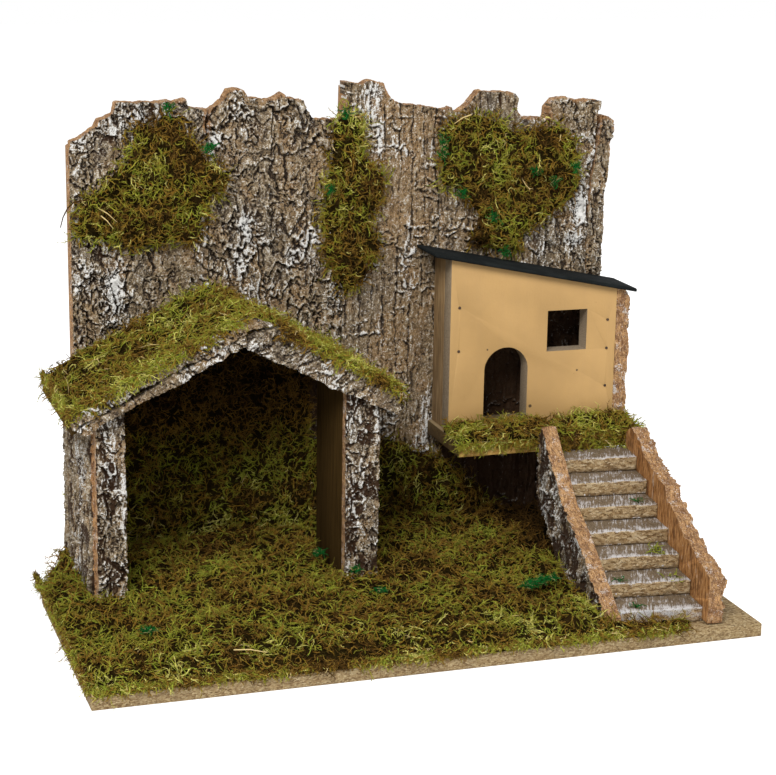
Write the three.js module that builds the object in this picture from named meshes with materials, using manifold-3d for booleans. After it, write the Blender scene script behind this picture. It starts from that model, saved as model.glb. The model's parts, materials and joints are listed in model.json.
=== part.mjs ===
// A nativity stable: a bark-clad back wall, an open mossy stable and a small plastered house
// that a stair leads up to, all on one chipboard base.
// Millimetres, +Z up, +X to the viewer's right, +Y to the back.
// The origin is the middle of the base board's underside.

import * as THREE from 'three';
import { mergeVertices } from 'three/addons/utils/BufferGeometryUtils.js';
import Module from 'manifold-3d';

const solids = await Module();
solids.setup();

// Gap kept where one piece rests on, or is let into, another
const seat = 0.3;

// Overall sizes
const baseWide = 500;
const baseDeep = 300;
const wallHigh = 375;

// Base board
const baseThick = 10;
const leftMargin = 40;
const rightMargin = 6.5;
const frontMargin = 6.3;
const cornerCutWide = 38;
const cornerCutDeep = 87;

// Back wall: a thin backing panel faced with upright bark slabs
const panelThick = 4;
const panelDrop = 4;
const barkThick = 13;
const barkBevel = 2;
const furrowDeep = 4;
const furrowApart = 19;
const barkGridAcross = 6.5;
const barkGridUp = 17;
const seamGap = 0.6;
const seamLean = 9;
const lastSlabTaper = 7;

// Each slab's share of the wall's width, and its top edge from left to right:
// [share of the slab's width, share of the wall's height]
const backSlabs = [
  {
    wide: 0.24,
    top: [
      [0, 0.887], [0.18, 0.917], [0.21, 0.935], [0.32, 0.943], [0.34, 0.963],
      [0.36, 0.966], [0.85, 0.969], [0.875, 0.956], [1, 0.95],
    ],
  },
  {
    wide: 0.243,
    top: [
      [0, 0.949], [0.11, 0.965], [0.15, 0.987], [0.195, 0.991], [0.26, 0.989], [0.305, 0.976],
      [0.42, 0.968], [0.52, 0.975], [0.545, 0.983], [0.585, 0.974], [0.705, 0.966], [0.735, 0.944],
      [0.8, 0.919], [0.85, 0.923], [1, 0.924],
    ],
  },
  {
    wide: 0.181,
    top: [
      [0, 1], [0.41, 1], [0.445, 0.979], [0.5, 0.962],
      [0.56, 0.955], [0.705, 0.947], [0.965, 0.941], [1, 0.932],
    ],
  },
  {
    wide: 0.206,
    top: [
      [0, 0.938], [0.09, 0.945], [0.135, 0.935], [0.245, 0.95], [0.32, 0.965], [0.345, 0.977], [0.69, 0.969],
      [0.72, 0.956], [0.725, 0.93], [0.765, 0.916], [0.82, 0.917], [0.975, 0.913], [1, 0.923],
    ],
  },
  { wide: 0.102, top: [[0, 0.946], [0.08, 0.957], [1, 0.95]], leanRight: seamLean },
  { wide: 0.028, top: [[0, 0.917], [0.62, 0.917], [1, 0.904]], leanLeft: seamLean, leanRight: lastSlabTaper },
];
const leanFrom = 0.72;

// Moss
const mossDeep = 15;
const mossLump = 3;
const mossEdgeDrop = 6;
const mossGrid = 14;
const wallMossThick = 9;
const mossUnderStair = 27;
const padBevel = 3;

// Moss patches on the back wall, as [share of the wall's width, share of the wall's height]
const wallPatches = {
  wall_moss_left: [
    [0.008, 0.69], [0.063, 0.682], [0.114, 0.664], [0.167, 0.677], [0.224, 0.68], [0.23, 0.755],
    [0.276, 0.805], [0.24, 0.838], [0.203, 0.893], [0.18, 0.94], [0.152, 0.945], [0.15, 0.915],
    [0.108, 0.918], [0.098, 0.85], [0.056, 0.797], [0.012, 0.768],
  ],
  wall_moss_middle: [
    [0.484, 0.545], [0.515, 0.57], [0.525, 0.62], [0.55, 0.64], [0.537, 0.68], [0.53, 0.72],
    [0.553, 0.757], [0.553, 0.808], [0.518, 0.842], [0.516, 0.928], [0.48, 0.936],
    [0.46, 0.912], [0.459, 0.839], [0.446, 0.776], [0.444, 0.65], [0.465, 0.59],
  ],
  wall_moss_right: [
    [0.72, 0.653], [0.809, 0.622], [0.82, 0.669], [0.867, 0.692], [0.922, 0.757], [0.92, 0.85],
    [0.9, 0.893], [0.853, 0.895], [0.805, 0.888], [0.765, 0.913], [0.715, 0.93], [0.662, 0.897],
    [0.666, 0.776], [0.703, 0.754], [0.745, 0.7],
  ],
};

// Stable
const stableOutset = 10;
const stableWide = 218;
const stableDeep = 135;
const wallSlabThick = 10;
const rightWallDeep = 69;
const leftPostWide = 22;
const leftPostInset = 2;
const rightPostWide = 27;
const postThick = 8;

// Stable roof
const roofPitch = THREE.MathUtils.degToRad(26.5);
const ridgeHigh = 203;
const ridgeShift = 4;
const leftEaveOut = 15;
const rightEaveOut = 14;
const roofBoardThick = 4;
const fasciaThick = 8;
const fasciaTall = 22;
const fasciaDrop = 3;
const fasciaSplit = 9;
const fasciaTip = 25;
const rightFasciaTall = 20;
const roofMossDeep = 14;
const roofMossOut = 6;

// Platform and stair
const platformWide = 158;
const platformDeep = 77;
const platformThick = 11.4;
const platformFromRight = 1.5;
const treadCount = 7;
const rise = 11.75;
const treadDeep = 33;
const treadThick = 10;
const treadWide = 64.2;
const treadTuck = 6;
const stairTurn = THREE.MathUtils.degToRad(-5.9);
const stairFromPlatformLeft = 61;
const stringerThick = 12;
const leftStringerToe = 4;
const rightStringerToe = 10;
const stringerRearTall = 42;

// Stringer tops, front to back: [share of the stringer's length, rises above the line of the nosings]
const leftStringerTop = [[0.2, 0], [0.38, 0.17], [0.6, -0.09], [0.77, 0.6], [0.95, 1.45]];
const rightStringerTop = [
  [0.02, 2.4], [0.19, 1.96], [0.25, 1.53], [0.34, 1.96], [0.45, 1.53],
  [0.48, 2.13], [0.61, 1.45], [0.75, 1.02], [0.8, 1.36], [0.92, 1.02],
];
const leftToeTop = -0.26;
const rightToeTop = 2.13;

// House
const houseDeep = 41;
const houseFromPlatformLeft = 3.5;
const houseFromPlatformRight = 9;
const houseFrontThick = 15;
const houseWallThick = 11;
const houseLeftHigh = 142.5;
const houseRoofDrop = 30;
const doorWide = 38;
const doorFromLeft = 30.2;
const doorSpringHigh = 49;
const windowWide = 35;
const windowTall = 34;
const windowFromRight = 26;
const windowSillHigh = 62.5;
const houseRoofThick = 3;
const houseRoofLeftOut = 16;
const houseRoofRightOut = 15.5;
const houseRoofFrontOut = 6;
const houseBarkThick = 11.7;
const nailShankRadius = 0.6;
const nailShankLong = 12;
const nailHeadRadius = 1.2;
const nailHeadThick = 0.5;
const nailInset = 7.5;
const nailHeights = { left: [103, 67], right: [86.5, 62.5, 30.5] };

// Places that follow from the sizes
const leftEdge = -baseWide / 2;
const rightEdge = baseWide / 2;
const frontEdge = -baseDeep / 2;
const rearEdge = baseDeep / 2;
const baseTop = baseThick;

const wallLeft = leftEdge + leftMargin;
const wallRight = rightEdge - rightMargin;
const wallWide = wallRight - wallLeft;
const slabSpace = wallWide - seamGap * (backSlabs.length - 1);
const panelFront = rearEdge - panelThick;
const barkFront = panelFront - barkThick;

const stableLeft = wallLeft - stableOutset;
const stableRight = stableLeft + stableWide;
const stableFront = barkFront - stableDeep;
const postBack = stableFront + postThick;
const leftWallInner = stableLeft + wallSlabThick;
const rightWallInner = stableRight - rightPostWide;
const rightWallBack = postBack + rightWallDeep;

const ridgeX = (stableLeft + stableRight) / 2 + ridgeShift;
const ridgeZ = baseTop + ridgeHigh;
const leftEave = stableLeft - leftEaveOut;
const rightEave = stableRight + rightEaveOut;
const roofFall = Math.tan(roofPitch);
const boardTall = roofBoardThick / Math.cos(roofPitch);

const topTreadZ = baseTop + treadCount * rise;
const platformUnder = topTreadZ + seat;
const platformTop = platformUnder + platformThick;
const platformRight = wallRight - platformFromRight;
const platformLeft = platformRight - platformWide;
const platformFront = barkFront - platformDeep;
const stairLeft = platformLeft + stairFromPlatformLeft;
// The front corner of the right stringer stays the front margin behind the base's edge,
// and the run of the treads takes up the depth that is left
const stairToeOut = treadWide * Math.sin(-stairTurn) + rightStringerToe * Math.cos(stairTurn);
const stairFront = frontEdge + frontMargin + stairToeOut;
const stairReach = platformFront - stairFront;
const stairLong = (stairReach + treadTuck) / Math.cos(stairTurn);
const run = (stairLong - treadDeep) / (treadCount - 1);

const houseLeft = platformLeft + houseFromPlatformLeft;
const houseRight = platformRight - houseFromPlatformRight;
const houseWide = houseRight - houseLeft;
const houseFront = barkFront - houseDeep;
const houseFrontBack = houseFront + houseFrontThick;
const houseRightHigh = houseLeftHigh - houseRoofDrop;

// Finishes
const finishes = {
  chipboard: { color: 0xb89a70, roughness: 0.9 },
  panel: { color: 0xa87d52, roughness: 0.85 },
  bark: { color: 0x6e5d4e, roughness: 0.95 },
  bareWood: { color: 0x6b5138, roughness: 0.85 },
  moss: { color: 0x5c5a22, roughness: 1 },
  plaster: { color: 0xcda267, roughness: 0.75 },
  houseSide: { color: 0x7a5636, roughness: 0.8 },
  slate: { color: 0x2f3636, roughness: 0.55 },
  tread: { color: 0x94836c, roughness: 0.9 },
  nail: { color: 0x3a2f28, roughness: 0.5, metalness: 0.8 },
};
const materials = Object.fromEntries(
  Object.entries(finishes).map(([name, finish]) => [name, new THREE.MeshStandardMaterial(finish)]),
);

const stable = new THREE.Group();

function addPiece(name, geometry, finish, parent = stable) {
  const mesh = new THREE.Mesh(geometry, materials[finish]);
  mesh.name = name;
  parent.add(mesh);
  return mesh;
}

// Geometry helpers

function outlineShape(points) {
  return new THREE.Shape(points.map(([a, b]) => new THREE.Vector2(a, b)));
}

// Points are [x, z]; the solid runs from yFront to yBack
function extrudeAlongY(shape, yFront, yBack) {
  const depth = yBack - yFront;
  const geometry = new THREE.ExtrudeGeometry(shape, { depth, bevelEnabled: false, curveSegments: 16 });
  geometry.rotateX(Math.PI / 2);
  geometry.translate(0, yBack, 0);
  return geometry;
}

// Points are [y, z]; the solid runs from xLeft to xRight
function extrudeAlongX(shape, xLeft, xRight) {
  const geometry = new THREE.ExtrudeGeometry(shape, { depth: xRight - xLeft, bevelEnabled: false });
  const yAxis = new THREE.Vector3(0, 1, 0);
  const zAxis = new THREE.Vector3(0, 0, 1);
  const xAxis = new THREE.Vector3(1, 0, 0);
  geometry.applyMatrix4(new THREE.Matrix4().makeBasis(yAxis, zAxis, xAxis));
  geometry.translate(xLeft, 0, 0);
  return geometry;
}

// Points are [x, y]; the solid runs from zLow to zHigh
function extrudeUp(shape, zLow, zHigh) {
  const geometry = new THREE.ExtrudeGeometry(shape, { depth: zHigh - zLow, bevelEnabled: false });
  geometry.translate(0, 0, zLow);
  return geometry;
}

// An upright pad with eased edges, such as bark or moss on a wall
function easedPad(points, yFront, yBack, bevel) {
  const geometry = new THREE.ExtrudeGeometry(outlineShape(points), {
    depth: yBack - yFront - 2 * bevel,
    bevelThickness: bevel,
    bevelSize: bevel,
    bevelOffset: -bevel,
    bevelSegments: 1,
  });
  geometry.rotateX(Math.PI / 2);
  geometry.translate(0, yBack - bevel, 0);
  return geometry;
}

function boxBetween(low, high) {
  const size = high.map((value, axis) => value - low[axis]);
  const geometry = new THREE.BoxGeometry(...size);
  geometry.translate(...low.map((value, axis) => value + size[axis] / 2));
  return geometry;
}

// A closed solid between a lower and an upper surface, over a grid of stations
function gridSolid(xs, ys, lower, upper) {
  const across = xs.length;
  const along = ys.length;
  const positions = [];
  for (const surface of [lower, upper]) {
    for (const y of ys) {
      for (const x of xs) {
        positions.push(x, y, surface(x, y));
      }
    }
  }
  const at = (layer, i, j) => (layer * along + j) * across + i;
  const index = [];
  const quad = (a, b, c, d) => index.push(a, b, c, a, c, d);
  for (let i = 0; i + 1 < across; i += 1) {
    for (let j = 0; j + 1 < along; j += 1) {
      quad(at(1, i, j), at(1, i + 1, j), at(1, i + 1, j + 1), at(1, i, j + 1));
      quad(at(0, i, j), at(0, i, j + 1), at(0, i + 1, j + 1), at(0, i + 1, j));
    }
    const back = along - 1;
    quad(at(0, i, 0), at(0, i + 1, 0), at(1, i + 1, 0), at(1, i, 0));
    quad(at(0, i + 1, back), at(0, i, back), at(1, i, back), at(1, i + 1, back));
  }
  for (let j = 0; j + 1 < along; j += 1) {
    const right = across - 1;
    quad(at(0, 0, j + 1), at(0, 0, j), at(1, 0, j), at(1, 0, j + 1));
    quad(at(0, right, j), at(0, right, j + 1), at(1, right, j + 1), at(1, right, j));
  }
  const geometry = new THREE.BufferGeometry();
  geometry.setAttribute('position', new THREE.Float32BufferAttribute(positions, 3));
  geometry.setIndex(index);
  return geometry;
}

function stations(from, to, step) {
  const count = Math.max(1, Math.round((to - from) / step));
  return Array.from({ length: count + 1 }, (_, i) => from + ((to - from) * i) / count);
}

function toSolid(geometry) {
  const bare = geometry.clone();
  bare.deleteAttribute('normal');
  bare.deleteAttribute('uv');
  const merged = mergeVertices(bare, 1e-4);
  return new solids.Manifold(
    new solids.Mesh({
      numProp: 3,
      vertProperties: new Float32Array(merged.attributes.position.array),
      triVerts: new Uint32Array(merged.index.array),
    }),
  );
}

function toGeometry(solid) {
  const mesh = solid.getMesh();
  const geometry = new THREE.BufferGeometry();
  geometry.setAttribute('position', new THREE.Float32BufferAttribute(mesh.vertProperties, 3));
  geometry.setIndex([...mesh.triVerts]);
  return geometry;
}

// Slow swells from -1 to 1 that make moss lumpy
function lumps(x, y) {
  const wide = Math.sin(x / 19 + 1.4 * Math.cos(y / 27));
  const narrow = Math.sin(y / 13 - x / 31 + 2);
  return 0.55 * wide + 0.45 * narrow;
}

// Depth of the furrows between the plates of bark, as a height from 0 down, at a place across
// and up its face. Furrows wander upwards, and knots raise or sink the plates between them.
function barkRelief(across, up) {
  const wander = 1.3 * Math.sin(up / 43) + Math.sin(across / 29);
  const rib = Math.sqrt(Math.abs(Math.sin((Math.PI * across) / furrowApart + wander)));
  const knot = Math.sin(up / 17 + across / 9) * Math.sin(up / 31 - across / 23);
  return Math.min(0, furrowDeep * (0.75 * rib + 0.25 * knot - 0.6));
}

// A slab whose upper side has the relief of bark, laid flat: [a, b] across and along, thickness up
function barkSlab(a, b, thick) {
  const across = stations(a[0], a[1], barkGridAcross);
  const along = stations(b[0], b[1], barkGridUp);
  return gridSolid(across, along, () => 0, (x, y) => thick + barkRelief(x, y));
}

// Base and back wall

function makeBase() {
  const outline = outlineShape([
    [leftEdge, frontEdge],
    [rightEdge, frontEdge],
    [rightEdge, rearEdge],
    [leftEdge + cornerCutWide, rearEdge],
    [leftEdge, rearEdge - cornerCutDeep],
  ]);
  addPiece('base_board', extrudeUp(outline, 0, baseTop), 'chipboard');
}

function makeBackWall() {
  const panelOutline = [[wallRight - lastSlabTaper, baseTop], [wallLeft, baseTop]];
  const leanHigh = baseTop + leanFrom * wallHigh;
  const face = barkSlab([wallLeft - seat, wallRight + seat], [baseTop - seat, baseTop + wallHigh + seat], barkThick);
  face.rotateX(Math.PI / 2).translate(0, panelFront, 0);
  let left = wallLeft;
  backSlabs.forEach((slab, i) => {
    const right = left + slab.wide * slabSpace;
    const topEdge = slab.top.map(([share, high]) => [left + share * (right - left), baseTop + high * wallHigh]);
    const leftFoot = left - (slab.leanLeft ?? 0);
    const rightFoot = right - (slab.leanRight ?? 0);
    const outline = [
      [rightFoot, baseTop],
      [rightFoot, leanHigh],
      ...topEdge.toReversed(),
      [leftFoot, leanHigh],
      [leftFoot, baseTop],
    ];
    const pad = toSolid(easedPad(outline, barkFront - seat, panelFront, barkBevel));
    addPiece(`back_bark_${i + 1}`, toGeometry(pad.intersect(toSolid(face))), 'bark');
    panelOutline.push(...topEdge.map(([x, z]) => [x, z - panelDrop]));
    left = right + seamGap;
  });
  panelOutline.reverse();
  addPiece('back_panel', extrudeAlongY(outlineShape(panelOutline), panelFront, rearEdge), 'panel');
}

// Stable

function roofUnder(x) {
  return ridgeZ - Math.abs(x - ridgeX) * roofFall;
}

function roofTop(x) {
  return roofUnder(x) + boardTall;
}

// An upright board or post under the stable's roof
function underRoof(name, left, right, front, back, finish) {
  const outline = outlineShape([
    [left, baseTop],
    [right, baseTop],
    [right, roofUnder(right) - seat],
    [left, roofUnder(left) - seat],
  ]);
  addPiece(name, extrudeAlongY(outline, front, back), finish);
}

function makeStableWalls() {
  const postLeft = stableLeft + leftPostInset;
  underRoof('stable_left_post', postLeft, postLeft + leftPostWide, stableFront, postBack, 'bark');
  makeStableLeftWall();
  underRoof('stable_right_post', rightWallInner, stableRight, stableFront, postBack, 'bark');
  const rightWallOuter = rightWallInner + wallSlabThick;
  underRoof('stable_right_wall', rightWallInner, rightWallOuter, postBack, rightWallBack, 'bareWood');
}

// The left wall's bark looks out to the left
function makeStableLeftWall() {
  const front = postBack;
  const back = barkFront - seat;
  const outline = outlineShape([
    [stableLeft - seat, baseTop],
    [leftWallInner, baseTop],
    [leftWallInner, roofUnder(leftWallInner) - seat],
    [stableLeft - seat, roofUnder(stableLeft - seat) - seat],
  ]);
  const board = toSolid(extrudeAlongY(outline, front, back));
  const face = barkSlab([-back - seat, -front + seat], [baseTop - seat, ridgeZ], wallSlabThick);
  const outOfWall = new THREE.Matrix4().makeBasis(
    new THREE.Vector3(0, -1, 0),
    new THREE.Vector3(0, 0, 1),
    new THREE.Vector3(-1, 0, 0),
  );
  face.applyMatrix4(outOfWall).translate(leftWallInner, 0, 0);
  addPiece('stable_left_wall', toGeometry(board.intersect(toSolid(face))), 'bark');
}

function makeStableRoof() {
  const front = stableFront;
  const back = barkFront - seat;
  const leftRidge = ridgeX - seat / 2;
  const rightRidge = ridgeX + seat / 2;
  const board = (name, a, b) => {
    const corners = [[a, roofUnder(a)], [b, roofUnder(b)], [b, roofTop(b)], [a, roofTop(a)]];
    addPiece(name, extrudeAlongY(outlineShape(corners), front, back), 'bareWood');
  };
  board('roof_board_left', leftEave, leftRidge);
  board('roof_board_right', rightRidge, rightEave);
}

// The bark strips along the roof's front edge: the left one has split into two layers,
// and its tip runs on over the right one at the ridge
function makeFascias() {
  const front = stableFront - seat - fasciaThick;
  const back = stableFront - seat;
  const low = (x) => roofUnder(x) - fasciaDrop;
  const split = (x) => low(x) + fasciaSplit;
  const high = (x) => low(x) + fasciaTall;
  const cutBack = fasciaThick + seat;
  const tipX = ridgeX + fasciaTip;
  const tipZ = low(ridgeX) + fasciaSplit + seat + 0.2 * fasciaTip;
  const lower = outlineShape([
    [leftEave + cutBack, low(leftEave + cutBack)],
    [ridgeX - seat, low(ridgeX - seat)],
    [ridgeX - seat, split(ridgeX - seat)],
    [leftEave + seat, split(leftEave + seat)],
  ]);
  const upper = outlineShape([
    [leftEave, split(leftEave) + seat],
    [ridgeX, split(ridgeX) + seat],
    [tipX, tipZ],
    [ridgeX, high(ridgeX)],
    [leftEave, high(leftEave) - seat],
  ]);
  const right = outlineShape([
    [ridgeX, low(ridgeX) - fasciaDrop],
    [rightEave - cutBack, low(rightEave - cutBack) - fasciaDrop],
    [rightEave, low(rightEave) + seat],
    [rightEave, low(rightEave) - fasciaDrop + rightFasciaTall],
    [tipX, tipZ - 2 * seat],
    [ridgeX, split(ridgeX) - seat],
  ]);
  addPiece('roof_fascia_left_lower', extrudeAlongY(lower, front, back), 'bark');
  addPiece('roof_fascia_left_upper', extrudeAlongY(upper, front, back), 'bark');
  addPiece('roof_fascia_right', extrudeAlongY(right, front, back), 'bark');
}

// Moss

function makeRoofMoss() {
  const left = leftEave;
  const right = rightEave + roofMossOut;
  const front = stableFront;
  const back = barkFront - seat;
  const xs = [...stations(left, ridgeX, mossGrid), ...stations(ridgeX, right, mossGrid).slice(1)];
  const ys = stations(front, back, mossGrid);
  const lower = (x) => roofTop(x) + seat;
  const upper = (x, y) => {
    const fromEave = Math.min(x - left, right - x, 2 * mossGrid) / (2 * mossGrid);
    const deep = roofMossDeep - mossEdgeDrop * (1 - fromEave);
    return lower(x) + deep + mossLump * 0.7 * lumps(x, y);
  };
  addPiece('roof_moss', gridSolid(xs, ys, lower, upper), 'moss');
}

// Moss laid over the base, cut clear of everything that stands in it
function makeFloorMoss() {
  const upper = (x, y) => {
    const fromEdge = Math.max(0, Math.min(x - leftEdge, y - frontEdge));
    return baseTop + mossDeep + mossLump * lumps(x, y) - mossEdgeDrop * Math.exp(-fromEdge / mossGrid);
  };
  const field = gridSolid(
    stations(leftEdge, rightEdge, mossGrid),
    stations(frontEdge, rearEdge, mossGrid),
    () => baseTop,
    upper,
  );
  const brim = 1;
  const stairSide = stairLeft - stringerThick - 2 * seat;
  const stairToe = stairFront - treadWide * Math.sin(-stairTurn) - seat;
  const besideStair = (y) => [stairSide - 3 * brim + (y - stairFront) * Math.tan(-stairTurn), y];
  const underStair = (y) => [besideStair(y)[0] + mossUnderStair, y];
  const outline = [
    [leftEdge + brim, frontEdge + brim],
    [stairLeft + 0.6 * treadWide, frontEdge + brim],
    [stairLeft + 0.75 * treadWide, frontEdge + 2 * brim],
    [stairLeft + 0.7 * treadWide, stairToe - brim],
    [stairSide + stringerThick, stairToe - 2 * brim],
    [stairSide - 2 * brim, stairToe + brim],
    besideStair(stairFront + 2 * run),
    besideStair(stairFront + 5 * run),
    underStair(stairFront + 5.5 * run),
    underStair(barkFront - seat),
    [leftEdge + cornerCutWide - 8 * brim, barkFront - seat],
    [leftEdge + brim, rearEdge - cornerCutDeep],
  ];
  const high = baseTop + 3 * mossDeep;
  let moss = toSolid(field).intersect(toSolid(extrudeUp(outlineShape(outline), baseTop - brim, high)));
  const postLeft = stableLeft + leftPostInset;
  const standing = [
    [postLeft, postLeft + leftPostWide, stableFront, postBack],
    [stableLeft, leftWallInner, postBack, barkFront],
    [rightWallInner, stableRight, stableFront, postBack],
    [rightWallInner, rightWallInner + wallSlabThick, postBack, rightWallBack],
  ];
  for (const [left, right, front, back] of standing) {
    const low = [left - seat, front - seat, baseTop - brim];
    moss = moss.subtract(toSolid(boxBetween(low, [right + seat, back + seat, high])));
  }
  addPiece('floor_moss', toGeometry(moss), 'moss');
}

// Moss behind and beside the stable, against the foot of the back wall
function makeFootMoss() {
  const foot = baseTop + mossDeep + mossLump + seat;
  const back = barkFront - seat;
  const front = back - wallMossThick;
  const left = leftWallInner + seat;
  const right = rightWallInner + wallSlabThick;
  const underBoard = (x) => roofUnder(x) - 2 * seat;
  const inside = [
    [left, foot],
    [right, foot],
    [right, underBoard(right)],
    [ridgeX, underBoard(ridgeX)],
    [left, underBoard(left)],
  ];
  addPiece('stable_back_moss', easedPad(inside, front, back, padBevel), 'moss');
  const yardLeft = right + seat;
  const under = platformUnder - seat;
  const beside = [
    [yardLeft, foot],
    [platformLeft + stairFromPlatformLeft, foot],
    [platformLeft + 0.74 * stairFromPlatformLeft, foot + 0.22 * (under - foot)],
    [platformLeft + 0.44 * stairFromPlatformLeft, foot + 0.47 * (under - foot)],
    [platformLeft + 8, under - 20],
    [platformLeft - 12, under - 14],
    [platformLeft - 24, under - 4],
    [platformLeft - 42, under - 1],
    [stableRight + 20, under + 6],
    [yardLeft, under + 2],
  ];
  addPiece('wall_foot_moss', easedPad(beside, front, back, padBevel), 'moss');
}

// Patches of moss high on the back wall
function makeWallMoss() {
  const back = barkFront - seat;
  for (const [name, outline] of Object.entries(wallPatches)) {
    const points = outline.map(([across, up]) => [wallLeft + across * wallWide, baseTop + up * wallHigh]);
    addPiece(name, easedPad(points, back - wallMossThick, back, padBevel), 'moss');
  }
}

// Platform and stair

function makePlatform() {
  addPiece(
    'platform_board',
    boxBetween([platformLeft, platformFront, platformUnder], [platformRight, barkFront - seat, platformTop]),
    'chipboard',
  );
  const xs = stations(platformLeft, platformRight, mossGrid);
  const ys = stations(platformFront, houseFront - seat, mossGrid);
  const upper = (x, y) => platformTop + 0.7 * mossDeep + mossLump * lumps(x, 2 * y);
  const moss = gridSolid(xs, ys, () => platformTop, upper);
  addPiece('platform_moss', moss, 'moss');
}

function makeStair() {
  const stair = new THREE.Group();
  stair.position.set(stairLeft, stairFront, 0);
  stair.rotation.z = stairTurn;
  stable.add(stair);

  for (let i = 0; i < treadCount; i += 1) {
    const top = baseTop + (i + 1) * rise;
    const tread = boxBetween([0, i * run, top - treadThick], [treadWide, i * run + treadDeep, top]);
    addPiece(`stair_tread_${i + 1}`, tread, 'tread', stair);
  }

  // Each stringer stops where its rearmost corner meets the platform's front edge
  const reachAt = (x) => (stairReach - 2 * seat + x * Math.sin(-stairTurn)) / Math.cos(stairTurn);
  const end = reachAt(-seat - stringerThick);
  const rightEnd = reachAt(treadWide + seat);
  const nosing = (s) => baseTop + rise * (1 + s / run);
  const foot = baseTop + seat;
  const top = platformTop - seat;
  // The underside leaves the base part of the way up and climbs to the platform
  const underside = (last) => [
    [0.6 * last, foot],
    [0.78 * last, foot + 2 * rise],
    [last, top - stringerRearTall],
    [last, top],
  ];
  const topEdge = (last, profile) =>
    profile.toReversed().map(([share, up]) => [share * last, nosing(share * last) + up * rise]);
  const left = [
    [-leftStringerToe, foot],
    ...underside(end),
    ...topEdge(end, leftStringerTop),
    [-leftStringerToe, nosing(0) + leftToeTop * rise],
  ];
  const right = [
    [-rightStringerToe, foot],
    ...underside(rightEnd),
    ...topEdge(rightEnd, rightStringerTop),
    [-rightStringerToe, nosing(0) + rightToeTop * rise],
  ];
  const leftSide = extrudeAlongX(outlineShape(left), -seat - stringerThick, -seat);
  const rightSide = extrudeAlongX(outlineShape(right), treadWide + seat, treadWide + seat + stringerThick);
  addPiece('stair_stringer_left', leftSide, 'bark', stair);
  addPiece('stair_stringer_right', rightSide, 'bark', stair);
}

// House

function houseRoofUnder(x) {
  const fall = houseRoofDrop / houseWide;
  return platformTop + houseLeftHigh - (x - houseLeft) * fall + seat;
}

// A wall under the house's sloping roof
function houseWall(name, left, right, front, back, finish) {
  const top = (x) => houseRoofUnder(x) - seat;
  const corners = [[left, platformTop], [right, platformTop], [right, top(right)], [left, top(left)]];
  addPiece(name, extrudeAlongY(outlineShape(corners), front, back), finish);
}

function nailPlaces() {
  const side = (x, heights) => heights.map((height) => [x, platformTop + height]);
  return [...side(houseLeft + nailInset, nailHeights.left), ...side(houseRight - nailInset, nailHeights.right)];
}

function makeHouse() {
  const doorLeft = houseLeft + doorFromLeft;
  const doorRadius = doorWide / 2;
  const spring = platformTop + doorSpringHigh;
  const front = new THREE.Shape();
  front.moveTo(houseLeft, platformTop);
  front.lineTo(doorLeft, platformTop);
  front.lineTo(doorLeft, spring);
  front.absarc(doorLeft + doorRadius, spring, doorRadius, Math.PI, 0, true);
  front.lineTo(doorLeft + doorWide, platformTop);
  front.lineTo(houseRight, platformTop);
  front.lineTo(houseRight, platformTop + houseRightHigh);
  front.lineTo(houseLeft, platformTop + houseLeftHigh);
  const windowRight = houseRight - windowFromRight;
  const sill = platformTop + windowSillHigh;
  const window = [
    [windowRight - windowWide, sill],
    [windowRight - windowWide, sill + windowTall],
    [windowRight, sill + windowTall],
    [windowRight, sill],
  ];
  front.holes.push(new THREE.Path(window.map(([x, z]) => new THREE.Vector2(x, z))));
  const holeRadius = nailShankRadius + seat;
  for (const [x, z] of nailPlaces()) {
    front.holes.push(new THREE.Path().absarc(x, z, holeRadius, 0, 2 * Math.PI, true));
  }
  addPiece('house_front', extrudeAlongY(front, houseFront, houseFrontBack), 'plaster');

  const back = barkFront - seat;
  houseWall('house_left_wall', houseLeft, houseLeft + houseWallThick, houseFrontBack, back, 'houseSide');
  houseWall('house_right_wall', houseRight - houseWallThick, houseRight, houseFrontBack, back, 'houseSide');
  const barkLeft = houseRight + seat;
  houseWall('house_right_bark', barkLeft, barkLeft + houseBarkThick, houseFront, back, 'bark');

  const roofLeft = houseLeft - houseRoofLeftOut;
  const roofRight = houseRight + houseRoofRightOut;
  const roof = outlineShape([
    [roofLeft, houseRoofUnder(roofLeft)],
    [roofRight, houseRoofUnder(roofRight)],
    [roofRight, houseRoofUnder(roofRight) + houseRoofThick],
    [roofLeft, houseRoofUnder(roofLeft) + houseRoofThick],
  ]);
  addPiece('house_roof', extrudeAlongY(roof, houseFront - houseRoofFrontOut, back), 'slate');
}

// Small nails that hold the house's front to its side walls
function makeNails() {
  const profile = [
    [0, -nailHeadThick],
    [nailHeadRadius, -nailHeadThick],
    [nailHeadRadius, 0],
    [nailShankRadius, 0],
    [nailShankRadius, nailShankLong],
    [0, nailShankLong],
  ].map(([radius, along]) => new THREE.Vector2(radius, along));
  nailPlaces().forEach(([x, z], i) => {
    const nail = addPiece(`house_nail_${i + 1}`, new THREE.LatheGeometry(profile, 12), 'nail');
    nail.position.set(x, houseFront, z);
  });
}

makeBase();
makeBackWall();
makeStableWalls();
makeStableRoof();
makeFascias();
makeRoofMoss();
makeFloorMoss();
makeFootMoss();
makeWallMoss();
makePlatform();
makeStair();
makeHouse();
makeNails();

export default stable;
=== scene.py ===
"""Dresses the nativity stable: bark with fissures and dry-brushed ridges, curled moss,
chipboard, painted board and worn treads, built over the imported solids."""

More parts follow.
